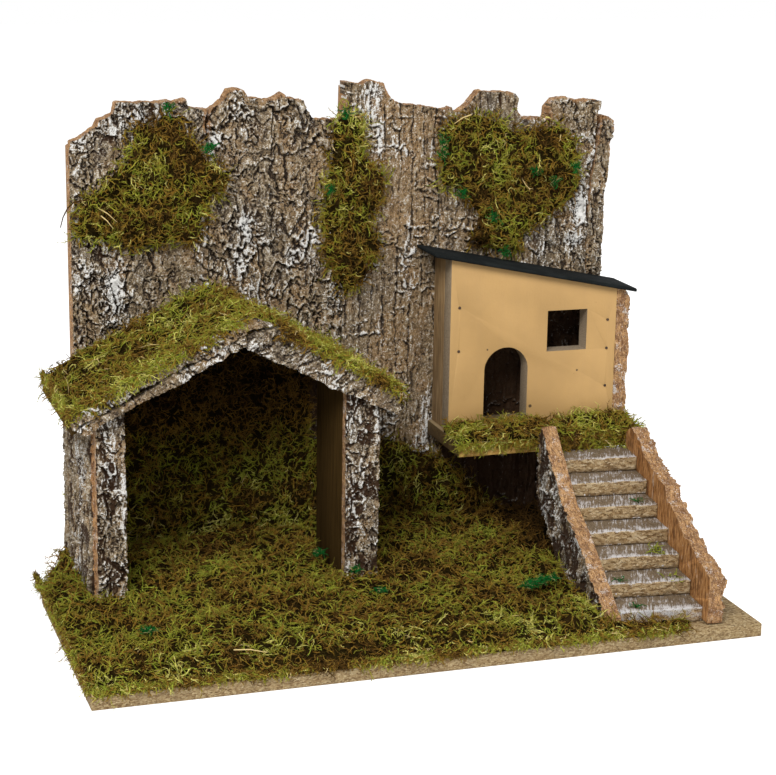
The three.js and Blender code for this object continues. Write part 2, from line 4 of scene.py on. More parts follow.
import sys
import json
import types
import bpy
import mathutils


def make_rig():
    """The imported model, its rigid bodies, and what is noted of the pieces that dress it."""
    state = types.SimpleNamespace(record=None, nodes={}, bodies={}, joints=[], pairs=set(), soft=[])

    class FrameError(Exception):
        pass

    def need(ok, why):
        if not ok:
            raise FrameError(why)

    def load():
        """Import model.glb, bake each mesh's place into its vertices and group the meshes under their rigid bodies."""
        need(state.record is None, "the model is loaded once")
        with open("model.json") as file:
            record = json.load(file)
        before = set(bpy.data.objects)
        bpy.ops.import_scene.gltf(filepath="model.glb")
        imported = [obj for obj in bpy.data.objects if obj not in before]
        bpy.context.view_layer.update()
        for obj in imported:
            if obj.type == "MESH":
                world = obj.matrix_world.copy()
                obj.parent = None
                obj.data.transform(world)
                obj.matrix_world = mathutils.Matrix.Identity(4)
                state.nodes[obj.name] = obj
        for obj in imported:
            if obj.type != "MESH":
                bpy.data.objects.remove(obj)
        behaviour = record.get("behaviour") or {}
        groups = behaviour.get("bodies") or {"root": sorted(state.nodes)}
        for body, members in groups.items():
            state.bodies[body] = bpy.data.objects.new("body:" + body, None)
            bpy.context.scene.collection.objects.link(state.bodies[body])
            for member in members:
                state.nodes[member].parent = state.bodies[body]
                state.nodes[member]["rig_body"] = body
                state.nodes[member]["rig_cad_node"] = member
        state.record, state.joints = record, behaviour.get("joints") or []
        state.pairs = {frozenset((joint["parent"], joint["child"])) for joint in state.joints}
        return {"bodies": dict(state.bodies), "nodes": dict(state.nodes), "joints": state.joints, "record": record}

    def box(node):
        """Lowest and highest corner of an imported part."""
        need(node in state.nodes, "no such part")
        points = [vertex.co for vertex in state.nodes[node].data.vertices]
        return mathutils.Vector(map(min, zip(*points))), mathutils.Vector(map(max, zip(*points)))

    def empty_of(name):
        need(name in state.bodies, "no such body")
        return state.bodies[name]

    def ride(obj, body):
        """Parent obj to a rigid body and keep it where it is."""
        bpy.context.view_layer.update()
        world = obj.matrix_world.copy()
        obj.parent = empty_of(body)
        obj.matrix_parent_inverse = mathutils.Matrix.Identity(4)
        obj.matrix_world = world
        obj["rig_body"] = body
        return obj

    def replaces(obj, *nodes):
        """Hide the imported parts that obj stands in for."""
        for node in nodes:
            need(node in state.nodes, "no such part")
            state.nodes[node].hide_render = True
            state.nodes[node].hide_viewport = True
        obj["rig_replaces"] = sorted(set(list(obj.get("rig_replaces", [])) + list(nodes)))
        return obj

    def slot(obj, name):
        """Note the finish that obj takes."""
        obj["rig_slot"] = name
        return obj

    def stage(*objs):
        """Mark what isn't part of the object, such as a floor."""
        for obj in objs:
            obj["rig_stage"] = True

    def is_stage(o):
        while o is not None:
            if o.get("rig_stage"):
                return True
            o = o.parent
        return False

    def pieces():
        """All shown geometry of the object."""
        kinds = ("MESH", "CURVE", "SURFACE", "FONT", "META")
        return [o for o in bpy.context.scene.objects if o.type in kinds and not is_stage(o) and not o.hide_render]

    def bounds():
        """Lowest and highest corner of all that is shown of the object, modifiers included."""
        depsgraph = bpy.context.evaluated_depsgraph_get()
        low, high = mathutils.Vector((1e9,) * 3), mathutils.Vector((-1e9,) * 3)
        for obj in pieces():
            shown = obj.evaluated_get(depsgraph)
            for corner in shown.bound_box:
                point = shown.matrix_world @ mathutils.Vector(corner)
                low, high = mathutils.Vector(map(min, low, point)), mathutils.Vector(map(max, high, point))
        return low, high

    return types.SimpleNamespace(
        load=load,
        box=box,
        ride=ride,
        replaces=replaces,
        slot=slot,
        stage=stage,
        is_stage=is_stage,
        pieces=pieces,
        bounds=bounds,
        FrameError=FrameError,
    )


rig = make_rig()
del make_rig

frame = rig.load()

import json
import math

import bmesh
import bpy
import numpy as np
from mathutils import Matrix, Vector
from mathutils.bvhtree import BVHTree

bl_info = {
    "name": "Nativity stable",
    "version": (1, 0, 0),
    "blender": (4, 5, 0),
    "location": "View3D > Sidebar > Crib",
    "description": "Dresses the solids of a nativity stable with bark, moss, paint and chipboard",
    "category": "Object",
}

MM = 0.001
UP = Vector((0, 0, 1))
DOWN = Vector((0, 0, -1))
LEFT = Vector((-1, 0, 0))
RIGHT = Vector((1, 0, 0))
FRONT = Vector((0, -1, 0))

# How far each tread reaches down onto what is below it, in metres
TREAD_SEAT = 0.0016
# Bark relief, in millimetres, that is wider than this is left to the solids
BARK_FINE = 9.0
# The stair is turned a little clockwise on the base, seen from above
STAIR_TURN = math.radians(-5.9)
ROOF_PITCH = math.radians(26.5)
# Faces of boards larger than this, in square metres, are shaded flat
LARGE_FACE = 0.0001
# No frond reaches lower than this, in millimetres
GROUND = 0.3
# Rings of points along the stem of a frond, and its side leaves
FROND_RINGS = 5
FROND_LEAVES = 4
# Sides of a twig or a straw
STICK_SIDES = 5
# Each step of the stair in millimetres
STEP_HIGH = 11.75
STEP_DEEP = 26.2
# The floor of the stage lies this far below the object, in metres
FLOOR_DROP = 0.0002

# The camera that took the photograph: the picture's width in pixels, the camera's place in metres, the
# ways that are right and up in the picture, and the focal length
IMAGE_WIDE = 776
CAMERA_PLACE = (-0.461, -1.399, 0.544)
CAMERA_RIGHT = (0.9499, -0.3121, 0.01539)
CAMERA_UP = (0.06267, 0.2386, 0.9691)
CAMERA_FOCAL_PIXELS = 2020

NODES = sorted(frame["nodes"])
BAKE_MAP = "OFBake"

# Small things in millimetres: dyed tufts on the wall and on the floor, straws by their ends, and a twig
WALL_TUFTS = [
    (x, 119, z)
    for x, z in (
        (-136, 370), (-104, 338), (-6, 302), (6, 362), (88, 338), (88, 328), (105, 296),
        (204, 314), (186, 303), (168, 312), (134, 276), (144, 245),
    )
]
FLOOR_TUFTS = [
    (x, y, 32.5)
    for x, y in (
        (-200, -97), (-20, -64), (-24, -18), (-40, 30), (90, -84), (96, -80), (104, -77), (112, -74),
    )
]
STRAWS = [
    ((-191, 119, 294), (-177, 117, 283)),
    ((-189, 119, 288), (-180, 117, 278)),
    ((110, 116, 359), (96, 117, 352)),
    ((-150, -140, 29), (-128, -146, 27)),
]
TWIG = [(-194, 123, 300), (-208, 122, 299), (-214, 119, 295), (-218, 118, 288), (-220, 119, 280)]
# Dark spots on the house's front in metres: across, up and half their width
HOUSE_SPOTS = ((0.1589, 0.1211, 0.0013), (0.1998, 0.1491, 0.0008), (0.120, 0.171, 0.0007))
# The slabs of the back wall from the left: how much white the brush left, the scale of the bark, how
# far large flakes curl, whether it is the smoother, flaky bark, and whether its sides are seams
WALL_SLABS = (
    (0.42, 0.95, 1.8, False, False),
    (0.38, 1.05, 3.2, False, True),
    (0.52, 1.1, 0.0, True, True),
    (0.50, 1.0, 0.0, True, True),
    (0.46, 0.85, 0.0, False, True),
    (0.38, 0.8, 0.0, False, False),
)
# White brushed over the back wall, warm bark and dark bark: each across, up, half its width, half its
# height, and its lean to the right in degrees
WALL_WHITE = (
    (-177, 228, 8, 24, 4),
    (-95, 343, 8, 8, -20),
    (-29, 250, 6, 18, 35),
    (214, 278, 6, 20, 8),
    (210, 250, 9, 9, 0),
    (-72, 278, 5, 10, 0),
    (39, 334, 3, 14, 0),
)
WALL_WARM = (
    (-82, 335, 12, 24, 10),
    (-38, 315, 12, 42, 0),
    (64, 305, 26, 70, 0),
    (60, 180, 26, 50, 0),
    (118, 262, 18, 16, 0),
    (188, 350, 16, 20, 0),
    (-196, 205, 12, 30, 0),
)
WALL_DARK = (
    (-178, 350, 26, 20, 10),
    (-150, 366, 30, 8, 0),
    (-62, 350, 12, 14, 0),
    (132, 366, 26, 14, 0),
    (166, 354, 20, 10, 0),
    (176, 252, 34, 9, 0),
    (-186, 258, 22, 8, 0),
)
# Warm bark on the stable's right post, given in the same way
POST_WARM = (
    (-25, 60, 4, 30, 0),
    (-16, 26, 10, 10, 0),
)


# Sizes and colours


def length(name, description, default):
    return bpy.props.FloatProperty(
        name=name, description=description, default=default, unit="LENGTH", min=0.0
    )


def colour(name, description, default):
    return bpy.props.FloatVectorProperty(
        name=name, description=description, default=default, subtype="COLOR", size=3, min=0.0, max=1.0
    )


class CribSizes(bpy.types.PropertyGroup):
    bark_grid: length("Bark grid", "Distance between the points of a bark surface", 0.0008)
    moss_grid: length("Moss grid", "Distance between the points of a moss bed", 0.0030)
    strand_long: length("Frond length", "Mean length of a moss frond", 0.0090)
    strand_thick: length("Frond thickness", "Thickness of a moss frond at its root", 0.0009)
    board_edge: length("Board edge", "Width of the eased edges of the boards", 0.0005)
    strands_per_square: bpy.props.FloatProperty(
        name="Fronds", description="Moss fronds on each square centimetre", default=19.0, min=0.0
    )


class CribColours(bpy.types.PropertyGroup):
    bark: colour("Bark", "Weathered face of the bark", (0.20, 0.140, 0.076))
    bark_warm: colour("Warm bark", "Fresh bark in the hollows", (0.30, 0.178, 0.076))
    bark_grey: colour("Grey bark", "Old bark", (0.105, 0.083, 0.060))
    bark_light: colour("Bark ridges", "Dry ridges of the bark", (0.43, 0.335, 0.205))
    # bark_deep is also laid in the bark's hollows by their relief: painted shade over the fissures' own dark colour
    bark_deep: colour("Bark fissures", "Bottom of the fissures", (0.030, 0.019, 0.012))
    white_brush: colour("Dry brush", "White paint brushed over the ridges", (0.80, 0.79, 0.76))
    sawn: colour("Sawn edge", "Sawn inner bark", (0.40, 0.215, 0.092))
    # The moss bed is very dark: the felt's own brown, and painted shade in the gaps between the fronds
    moss_bed: colour("Moss bed", "Felted depth of the moss", (0.022, 0.015, 0.004))
    chipboard: colour("Chipboard", "Pale flakes of the chipboard", (0.43, 0.31, 0.155))
    house: colour("House", "Painted front of the house", (0.49, 0.298, 0.112))
    house_edge: colour("House side", "Bare sides of the house", (0.27, 0.165, 0.072))
    slate: colour("House roof", "Painted roof of the house", (0.0085, 0.0100, 0.0100))
    dark_wood: colour("Stained wood", "Boards inside the stable", (0.050, 0.028, 0.008))
    panel: colour("Backing panel", "Hardboard behind the bark", (0.30, 0.17, 0.08))
    floor: colour("Floor", "Floor and backdrop", (0.86, 0.86, 0.86))


def sizes():
    return bpy.context.scene.crib_sizes


def colours():
    return bpy.context.scene.crib_colours


# Noise, in numpy so that it is the same each run


def hashed(ix, iy, seed):
    """A number from 0 to 1 for each whole place, by mixing its bits."""
    mixed = ix.astype(np.int64) * 374761393 + iy.astype(np.int64) * 668265263 + seed * 974634777
    mixed = mixed & 0xFFFFFFFF
    mixed = ((mixed ^ (mixed >> 13)) * 1274126177) & 0xFFFFFFFF
    return ((mixed ^ (mixed >> 16)) & 0xFFFFFF) / float(0xFFFFFF)


def smooth(x):
    x = np.clip(x, 0.0, 1.0)
    return x * x * (3.0 - 2.0 * x)


def value_noise(x, y, seed):
    ix, iy = np.floor(x), np.floor(y)
    fx, fy = smooth(x - ix), smooth(y - iy)
    low = hashed(ix, iy, seed) * (1 - fx) + hashed(ix + 1, iy, seed) * fx
    high = hashed(ix, iy + 1, seed) * (1 - fx) + hashed(ix + 1, iy + 1, seed) * fx
    return low * (1 - fy) + high * fy


def cloudy(x, y, seed, octaves=4):
    """Cloud noise from 0 to 1."""
    total, weight, norm = 0.0, 1.0, 0.0
    for octave in range(octaves):
        total = total + weight * value_noise(x * 2**octave, y * 2**octave, seed + 31 * octave)
        norm += weight
        weight *= 0.5
    return np.clip((total / norm - 0.5) * 1.6 + 0.5, 0.0, 1.0)


def cells(x, y, seed):
    """For jittered cells: distances to the nearest two centres, a number for the nearest cell, and the
    way from its centre to the point."""
    ix, iy = np.floor(x), np.floor(y)
    near = np.full(np.shape(x), 9.0)
    after = near.copy()
    key, off_x, off_y = (np.zeros(np.shape(x)) for _ in range(3))
    for dx in (-1, 0, 1):
        for dy in (-1, 0, 1):
            cx, cy = ix + dx, iy + dy
            to_x = x - cx - hashed(cx, cy, seed)
            to_y = y - cy - hashed(cx, cy, seed + 1)
            gap = np.hypot(to_x, to_y)
            closer = gap < near
            after = np.where(closer, near, np.minimum(after, gap))
            near = np.where(closer, gap, near)
            key = np.where(closer, hashed(cx, cy, seed + 2), key)
            off_x = np.where(closer, to_x, off_x)
            off_y = np.where(closer, to_y, off_y)
    return near, after, key, off_x, off_y


def blurred(field, spread):
    """Softens a grid by a Gaussian of that spread, in grid steps."""
    reach = max(1, int(3 * spread))
    weights = np.exp(-0.5 * (np.arange(-reach, reach + 1) / spread) ** 2)
    weights /= weights.sum()
    for axis in (0, 1):
        padded = np.pad(field, [(reach, reach) if a == axis else (0, 0) for a in (0, 1)], mode="edge")
        field = sum(
            w * np.take(padded, np.arange(field.shape[axis]) + i, axis=axis) for i, w in enumerate(weights)
        )
    return field


# Outlines of the solids


def node_mesh(node, turn=0.0):
    """A node's solid as a bmesh in millimetres, welded, and turned back about the vertical by an angle."""
    work = bmesh.new()
    work.from_mesh(frame["nodes"][node].data)
    work.transform(Matrix.Rotation(-turn, 4, "Z") @ Matrix.Scale(1 / MM, 4))
    bmesh.ops.remove_doubles(work, verts=work.verts, dist=0.01)
    return work


def axes_for(toward):
    """Right-hand axes across and along a face that looks in a direction."""
    if abs(toward.z) > 0.5:
        return Vector((1, 0, 0)), Vector((0, toward.z, 0))
    return UP.cross(toward), UP.copy()


def outlines(work, toward):
    """Outlines of a solid seen from one side, as arrays of (across, along)."""
    across, along = axes_for(toward)
    seen = [face for face in work.faces if face.normal.dot(toward) > 0.05]
    among = set(seen)
    after = {}
    for face in seen:
        for loop in face.loops:
            if sum(f in among for f in loop.edge.link_faces) == 1:
                after[loop.vert] = loop.link_loop_next.vert
    found = []
    while after:
        start, spot = after.popitem()
        loop = [start]
        while spot is not start:
            loop.append(spot)
            spot = after.pop(spot)
        found.append(np.array([(v.co.dot(across), v.co.dot(along)) for v in loop]))
    return found


def inside(loops, a, b):
    """True where a point lies inside the outlines, by the even-odd rule."""
    within = np.zeros(np.shape(a), bool)
    for loop in loops:
        for (a0, b0), (a1, b1) in zip(loop, np.roll(loop, -1, axis=0)):
            if b0 == b1:
                continue
            crosses = (b0 > b) != (b1 > b)
            within ^= crosses & (a < a0 + (b - b0) * (a1 - a0) / (b1 - b0))
    return within


def nearest_on(loops, a, b):
    """Nearest point of the outlines to each point, and how far it is."""
    best = np.full(np.shape(a), 1e9)
    best_a, best_b = np.array(a, float), np.array(b, float)
    for loop in loops:
        for (a0, b0), (a1, b1) in zip(loop, np.roll(loop, -1, axis=0)):
            span = (a1 - a0) ** 2 + (b1 - b0) ** 2
            if span == 0:
                continue
            share = np.clip(((a - a0) * (a1 - a0) + (b - b0) * (b1 - b0)) / span, 0, 1)
            near_a, near_b = a0 + share * (a1 - a0), b0 + share * (b1 - b0)
            gap = np.hypot(a - near_a, b - near_b)
            closer = gap < best
            best = np.where(closer, gap, best)
            best_a = np.where(closer, near_a, best_a)
            best_b = np.where(closer, near_b, best_b)
    return best, best_a, best_b


def ragged(loop, step, rough, seed):
    """An outline cut into short steps and moved in and out like a torn edge. rough gives how far,
    in millimetres, at a place."""
    points = []
    for start, end in zip(loop, np.roll(loop, -1, axis=0)):
        count = max(1, int(np.hypot(*(end - start)) / step))
        for i in range(count):
            points.append(start + (end - start) * i / count)
    points = np.array(points)
    ahead = np.roll(points, -1, axis=0) - np.roll(points, 1, axis=0)
    out = np.stack([ahead[:, 1], -ahead[:, 0]], axis=1)
    out /= np.maximum(np.hypot(out[:, 0], out[:, 1]), 1e-6)[:, None]
    a, b = points[:, 0], points[:, 1]
    wave = 0.6 * cloudy(a / 11, b / 11, seed, 2) + 0.5 * cloudy(a / 4, b / 4, seed + 1, 3) - 0.75
    return points + out * (wave * 2.0 * rough(a, b))[:, None]


# Meshes


def linked(name, data):
    """A new object in the scene."""
    made = bpy.data.objects.new(name, data)
    bpy.context.scene.collection.objects.link(made)
    return made


def mesh_object(name, verts, faces, materials, face_materials=None, marks=None, uv=None, sharp=None):
    """An object from arrays: verts in metres, faces as a list of index arrays, marks as numbers on
    points, uv as one pair for each corner."""
    mesh = bpy.data.meshes.new(name)
    corners = np.concatenate([f.ravel() for f in faces])
    lengths = np.concatenate([np.full(len(f), f.shape[1]) for f in faces])
    mesh.vertices.add(len(verts))
    mesh.vertices.foreach_set("co", np.ascontiguousarray(verts, np.float32).ravel())
    mesh.loops.add(len(corners))
    mesh.loops.foreach_set("vertex_index", corners.astype(np.int32))
    mesh.polygons.add(len(lengths))
    mesh.polygons.foreach_set("loop_start", np.concatenate([[0], np.cumsum(lengths)[:-1]]).astype(np.int32))
    if face_materials is not None:
        mesh.polygons.foreach_set("material_index", np.asarray(face_materials, np.int32))
    mesh.update(calc_edges=True)
    mesh.polygons.foreach_set("use_smooth", np.ones(len(lengths), bool))
    for key, values in (marks or {}).items():
        layer = mesh.attributes.new(key, "FLOAT", "POINT")
        layer.data.foreach_set("value", np.asarray(values, np.float32))
    if uv is not None:
        layer = mesh.uv_layers.new(name=BAKE_MAP)
        layer.data.foreach_set("uv", np.asarray(uv, np.float32).ravel())
    if sharp is not None:
        mesh.set_sharp_from_angle(angle=sharp)
    for material in materials:
        mesh.materials.append(material)
    return linked(name, mesh)


def settle(piece, slot, *nodes):
    """Fixes a piece to the object, and hides the solids that it stands for."""
    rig.ride(piece, "root")
    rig.slot(piece, slot)
    if nodes:
        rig.replaces(piece, *nodes)
    return piece


def gridded(loops, step):
    """Points of a square grid over the outlines, and which of its squares lie inside."""
    every = np.concatenate(loops)
    low, high = every.min(axis=0) - step, every.max(axis=0) + step
    a = np.arange(low[0], high[0] + step, step)
    b = np.arange(low[1], high[1] + step, step)
    grid_a, grid_b = np.meshgrid(a, b)
    mid_a, mid_b = np.meshgrid((a[1:] + a[:-1]) / 2, (b[1:] + b[:-1]) / 2)
    squares = inside(loops, mid_a, mid_b)
    return grid_a, grid_b, squares


def rim_of(squares):
    """For points of the grid: which belong to an inside square, and which of them lie on its rim."""
    padded = np.pad(squares, 1)
    around = [padded[:-1, :-1], padded[:-1, 1:], padded[1:, :-1], padded[1:, 1:]]
    count = sum(part.astype(int) for part in around)
    return count > 0, (count > 0) & (count < 4)


def snapped(loops, a, b, rim, step):
    """The grid with its rim moved onto the outlines where they are near."""
    gap, near_a, near_b = nearest_on(loops, a[rim], b[rim])
    close = gap < 1.3 * step
    a, b = a.copy(), b.copy()
    a[rim] = np.where(close, near_a, a[rim])
    b[rim] = np.where(close, near_b, b[rim])
    return a, b


def rim_edges(squares, index):
    """Edges on the rim of the inside squares, each with the inside on its left."""
    padded = np.pad(squares, 1)
    core = padded[1:-1, 1:-1]
    low_left, low_right = index[:-1, :-1], index[:-1, 1:]
    top_left, top_right = index[1:, :-1], index[1:, 1:]
    sides = [
        (core & ~padded[:-2, 1:-1], low_left, low_right),
        (core & ~padded[1:-1, 2:], low_right, top_right),
        (core & ~padded[2:, 1:-1], top_right, top_left),
        (core & ~padded[1:-1, :-2], top_left, low_left),
    ]
    return np.concatenate([np.stack([start[mask], end[mask]], axis=1) for mask, start, end in sides])


def front_faces(squares, index):
    corners = [index[:-1, :-1], index[:-1, 1:], index[1:, 1:], index[1:, :-1]]
    return np.stack([corner[squares] for corner in corners], axis=1)


def side_rows(line, out, back_level, rows, side_rough):
    """Rows of points from a rim down to the back, worn in and out on the way."""
    found = []
    for row in range(1, rows + 1):
        moved = line.copy()
        moved[:, 2] += (back_level - moved[:, 2]) * row / rows
        if row < rows:
            a, b, level = moved.T
            rough = cloudy((a + b) / 3.0, level / 3.0 + b / 7.0, 77, 2) - 0.6
            moved[:, :2] += out * (side_rough * rough)[:, None]
        found.append(moved)
    return found


def side_faces(edges, rim_points, front_count, rows):
    """Faces between the rows of a side, and the number of each rim point in the last row."""
    start, end = edges[:, 0], edges[:, 1]
    faces, above = [], np.arange(front_count)
    for row in range(rows):
        below = np.full(front_count, -1)
        below[rim_points] = front_count + row * len(rim_points) + np.arange(len(rim_points))
        faces.append(np.stack([above[end], above[start], below[start], below[end]], axis=1))
        above = below
    return faces, above


def relief_solid(loops, surface, relief, step, marks_of, turn=0.0, rows=1, side_rough=0.0, seams=False,
                 rim_share=1.0):
    """A closed body whose face lies as high as relief(across, along) over a node's own, and whose back
    is flat. rim_share is how much of the relief is left at the rim.
    Materials: 0 face, 1 sides, 2 back, 3 upright sides where they are seams.
    Returns (verts in metres, faces, face materials, marks)."""
    a, b, squares = gridded(loops, step)
    used, rim = rim_of(squares)
    cover = blurred(used.astype(float), 2.4 / step)
    height = relief(a, b) * (rim_share + (1 - rim_share) * smooth((cover - 0.5) / 0.35))
    level = surface.level(a, b)
    marks = marks_of(a, b, height + 0.6 * level, cover)
    a, b = snapped(loops, a, b, rim, step)
    index = np.full(used.shape, -1)
    index[used] = np.arange(used.sum())
    front = np.stack([a[used], b[used], (level + height)[used]], axis=1)
    edges = rim_edges(squares, index)
    rim_points = np.unique(edges)
    out = outward(front, edges)
    lower = side_rows(front[rim_points], out[rim_points], surface.low, rows, side_rough)
    sides, last = side_faces(edges, rim_points, len(front), rows)
    faces = [front_faces(squares, index), *sides]
    upright = np.abs(out[edges[:, 0], 1]) < 0.35
    slots = [np.full(len(faces[0]), 0)] + [np.where(upright & seams, 3, 1)] * rows
    for loop in ordered_loops(np.stack([last[edges[:, 1]], last[edges[:, 0]]], axis=1)):
        faces.append(loop[None, :])
        slots.append(np.array([2]))
    marks = {key: values[used] for key, values in marks.items()}
    marks = {key: np.concatenate([at] + [at[rim_points]] * rows) for key, at in marks.items()}
    verts = placed(np.concatenate([front, *lower]), surface.toward, turn)
    return verts, faces, np.concatenate(slots), marks


def outward(points, edges):
    """For points on the rim, the way out in the plane of the outline."""
    along = points[edges[:, 1], :2] - points[edges[:, 0], :2]
    side = np.stack([along[:, 1], -along[:, 0]], axis=1)
    total = np.zeros((len(points), 2))
    np.add.at(total, edges[:, 0], side)
    np.add.at(total, edges[:, 1], side)
    return total / np.maximum(np.linalg.norm(total, axis=1, keepdims=True), 1e-9)


def ordered_loops(edges):
    """Closed loops of point numbers from directed edges."""
    after = {}
    for start, end in edges.tolist():
        after.setdefault(start, []).append(end)
    loops = []
    while after:
        start = next(iter(after))
        loop, spot = [start], after[start].pop()
        if not after[start]:
            del after[start]
        while spot != start:
            loop.append(spot)
            following = after[spot].pop()
            if not after[spot]:
                del after[spot]
            spot = following
        loops.append(np.array(loop))
    return loops


def turned(points, turn):
    """Points turned about the vertical by an angle."""
    c, s = math.cos(turn), math.sin(turn)
    return points @ np.array([[c, s, 0], [-s, c, 0], [0, 0, 1]])


def placed(points, toward, turn=0.0):
    """(across, along, outward) in millimetres to places in metres."""
    across, along = axes_for(toward)
    return turned(points @ np.array([across, along, toward]), turn) * MM


def levels(work, toward):
    reach = [v.co.dot(toward) for v in work.verts]
    return min(reach), max(reach)


class Surface:
    """The outer and inner surface of a node over its outline. drop lets its foot hang lower."""

    def __init__(self, node, toward, turn=0.0, drop=0.0):
        self.toward = toward
        self.across, self.along = axes_for(toward)
        work = node_mesh(node, turn)
        self.loops = outlines(work, toward)
        self.low, self.high = levels(work, toward)
        self.top = max(v.co.z for v in work.verts)
        self.tree = BVHTree.FromBMesh(work)
        work.free()
        foot = min(loop[:, 1].min() for loop in self.loops)
        self.wide_loops = [loop - np.outer(loop[:, 1] < foot + 1, (0, drop)) for loop in self.loops]

    def reach(self, a, b, outer):
        """How far out the surface lies at each place."""
        start = self.high + 10 if outer else self.low - 10
        way = -self.toward if outer else self.toward
        found = []
        for x, y in zip(a, b):
            origin = self.across * x + self.along * y + self.toward * start
            hit = self.tree.ray_cast(origin, way)[0]
            found.append(np.nan if hit is None else hit.dot(self.toward))
        found = np.array(found)
        missing = np.isnan(found)
        found[missing] = np.nanmedian(found) if (~missing).any() else self.high
        return found

    def level(self, a, b, grid=4.0):
        """The outer surface over a fine grid, read at coarse steps and softened."""
        coarse_a = np.arange(a.min(), a.max() + grid, grid)
        coarse_b = np.arange(b.min(), b.max() + grid, grid)
        wide_a, wide_b = np.meshgrid(coarse_a, coarse_b)
        read = self.reach(wide_a.ravel(), wide_b.ravel(), True).reshape(wide_a.shape)
        read = blurred(read, 0.6)
        at_a = (a - coarse_a[0]) / grid
        at_b = (b - coarse_b[0]) / grid
        i = np.clip(at_a.astype(int), 0, len(coarse_a) - 2)
        j = np.clip(at_b.astype(int), 0, len(coarse_b) - 2)
        share_a, share_b = at_a - i, at_b - j
        low = read[j, i] * (1 - share_a) + read[j, i + 1] * share_a
        high = read[j + 1, i] * (1 - share_a) + read[j + 1, i + 1] * share_a
        return low * (1 - share_b) + high * share_b


# Shader building


def put(tree, kind, inputs=None, **settings):
    node = tree.nodes.new(kind)
    for key, value in settings.items():
        setattr(node, key, value)
    for socket, value in (inputs or {}).items():
        if isinstance(value, bpy.types.NodeSocket):
            tree.links.new(value, node.inputs[socket])
        else:
            node.inputs[socket].default_value = value
    return node


def rgba(colour_value):
    return (*tuple(colour_value)[:3], 1.0)


def blend(tree, factor, first, second):
    node = tree.nodes.new("ShaderNodeMix")
    node.data_type = "RGBA"
    for socket, value in ((0, factor), (6, first), (7, second)):
        if isinstance(value, bpy.types.NodeSocket):
            tree.links.new(value, node.inputs[socket])
        else:
            node.inputs[socket].default_value = value if socket == 0 else rgba(value)
    return node.outputs[2]


def arithmetic(tree, operation, *values):
    node = tree.nodes.new("ShaderNodeMath")
    node.operation = operation
    for i, value in enumerate(values):
        if isinstance(value, bpy.types.NodeSocket):
            tree.links.new(value, node.inputs[i])
        else:
            node.inputs[i].default_value = value
    return node.outputs[0]


def times(tree, first, second):
    return arithmetic(tree, "MULTIPLY", first, second)


def times_and_add(tree, first, second, added):
    return arithmetic(tree, "MULTIPLY_ADD", first, second, added)


def between(tree, value, low, high):
    """0 below low, 1 above high, and smooth in between."""
    node = put(tree, "ShaderNodeMapRange", {0: value, 1: low, 2: high}, interpolation_type="SMOOTHSTEP")
    return node.outputs[0]


def stained(tree, body, pattern, band, strength, stain):
    """The body with a stain that comes in over a band of a pattern's values."""
    return blend(tree, times(tree, between(tree, pattern, *band), strength), body, stain)


def marked(tree, body, name, strength, stain):
    """The body with a stain where the mesh has a mark."""
    return blend(tree, times(tree, mark(tree, name), strength), body, stain)


def toned(colour_value, share):
    return [channel * share for channel in colour_value]


def ramp(tree, factor, stops):
    node = put(tree, "ShaderNodeValToRGB", {0: factor})
    elements = node.color_ramp.elements
    while len(elements) < len(stops):
        elements.new(1.0)
    for element, (place, value) in zip(elements, stops):
        element.position = place
        element.color = rgba(value)
    return node.outputs[0]


def place_of(tree, long=(1, 1, 1), turn=0.0):
    """Places on the object, drawn out by a number along each axis, and turned about the vertical."""
    spot = put(tree, "ShaderNodeTexCoord").outputs["Object"]
    mapping = put(tree, "ShaderNodeMapping", {0: spot, 2: (0, 0, turn), 3: long}, vector_type="TEXTURE")
    return mapping.outputs[0]


def noise(tree, spot, size, detail=3.0, rough=0.6):
    """Noise from 0 to 1 with grains of a size in metres."""
    inputs = {"Vector": spot, "Scale": 1.0 / size, "Detail": detail, "Roughness": rough}
    return put(tree, "ShaderNodeTexNoise", inputs).outputs[0]


def near_place(tree, across, up):
    """How far a point is, in metres, from a place given across and up, seen from the front."""
    inputs = {0: place_of(tree, (1, 1000, 1)), 1: (across, 0, up)}
    return put(tree, "ShaderNodeVectorMath", inputs, operation="DISTANCE").outputs["Value"]


def mark(tree, name):
    return put(tree, "ShaderNodeAttribute", attribute_name=name).outputs["Fac"]


def new_material(name, roughness=0.9, shine=0.25):
    material = bpy.data.materials.new(name)
    material.use_nodes = True
    tree = material.node_tree
    shader = tree.nodes["Principled BSDF"]
    shader.inputs["Roughness"].default_value = roughness
    shader.inputs["Specular IOR Level"].default_value = shine
    return material, tree, shader


def bump(tree, shader, height, depth, strength=1.0):
    node = put(tree, "ShaderNodeBump", {"Height": height, "Distance": depth, "Strength": strength})
    tree.links.new(node.outputs[0], shader.inputs["Normal"])


def finish_with(tree, shader, base, roughness=None):
    tree.links.new(base, shader.inputs["Base Color"])
    if roughness is not None:
        tree.links.new(roughness, shader.inputs["Roughness"])


# Materials

MATERIALS = {}


def material(name):
    if name not in MATERIALS:
        MATERIALS[name] = globals()[f"{name}_material"]()
    return MATERIALS[name]


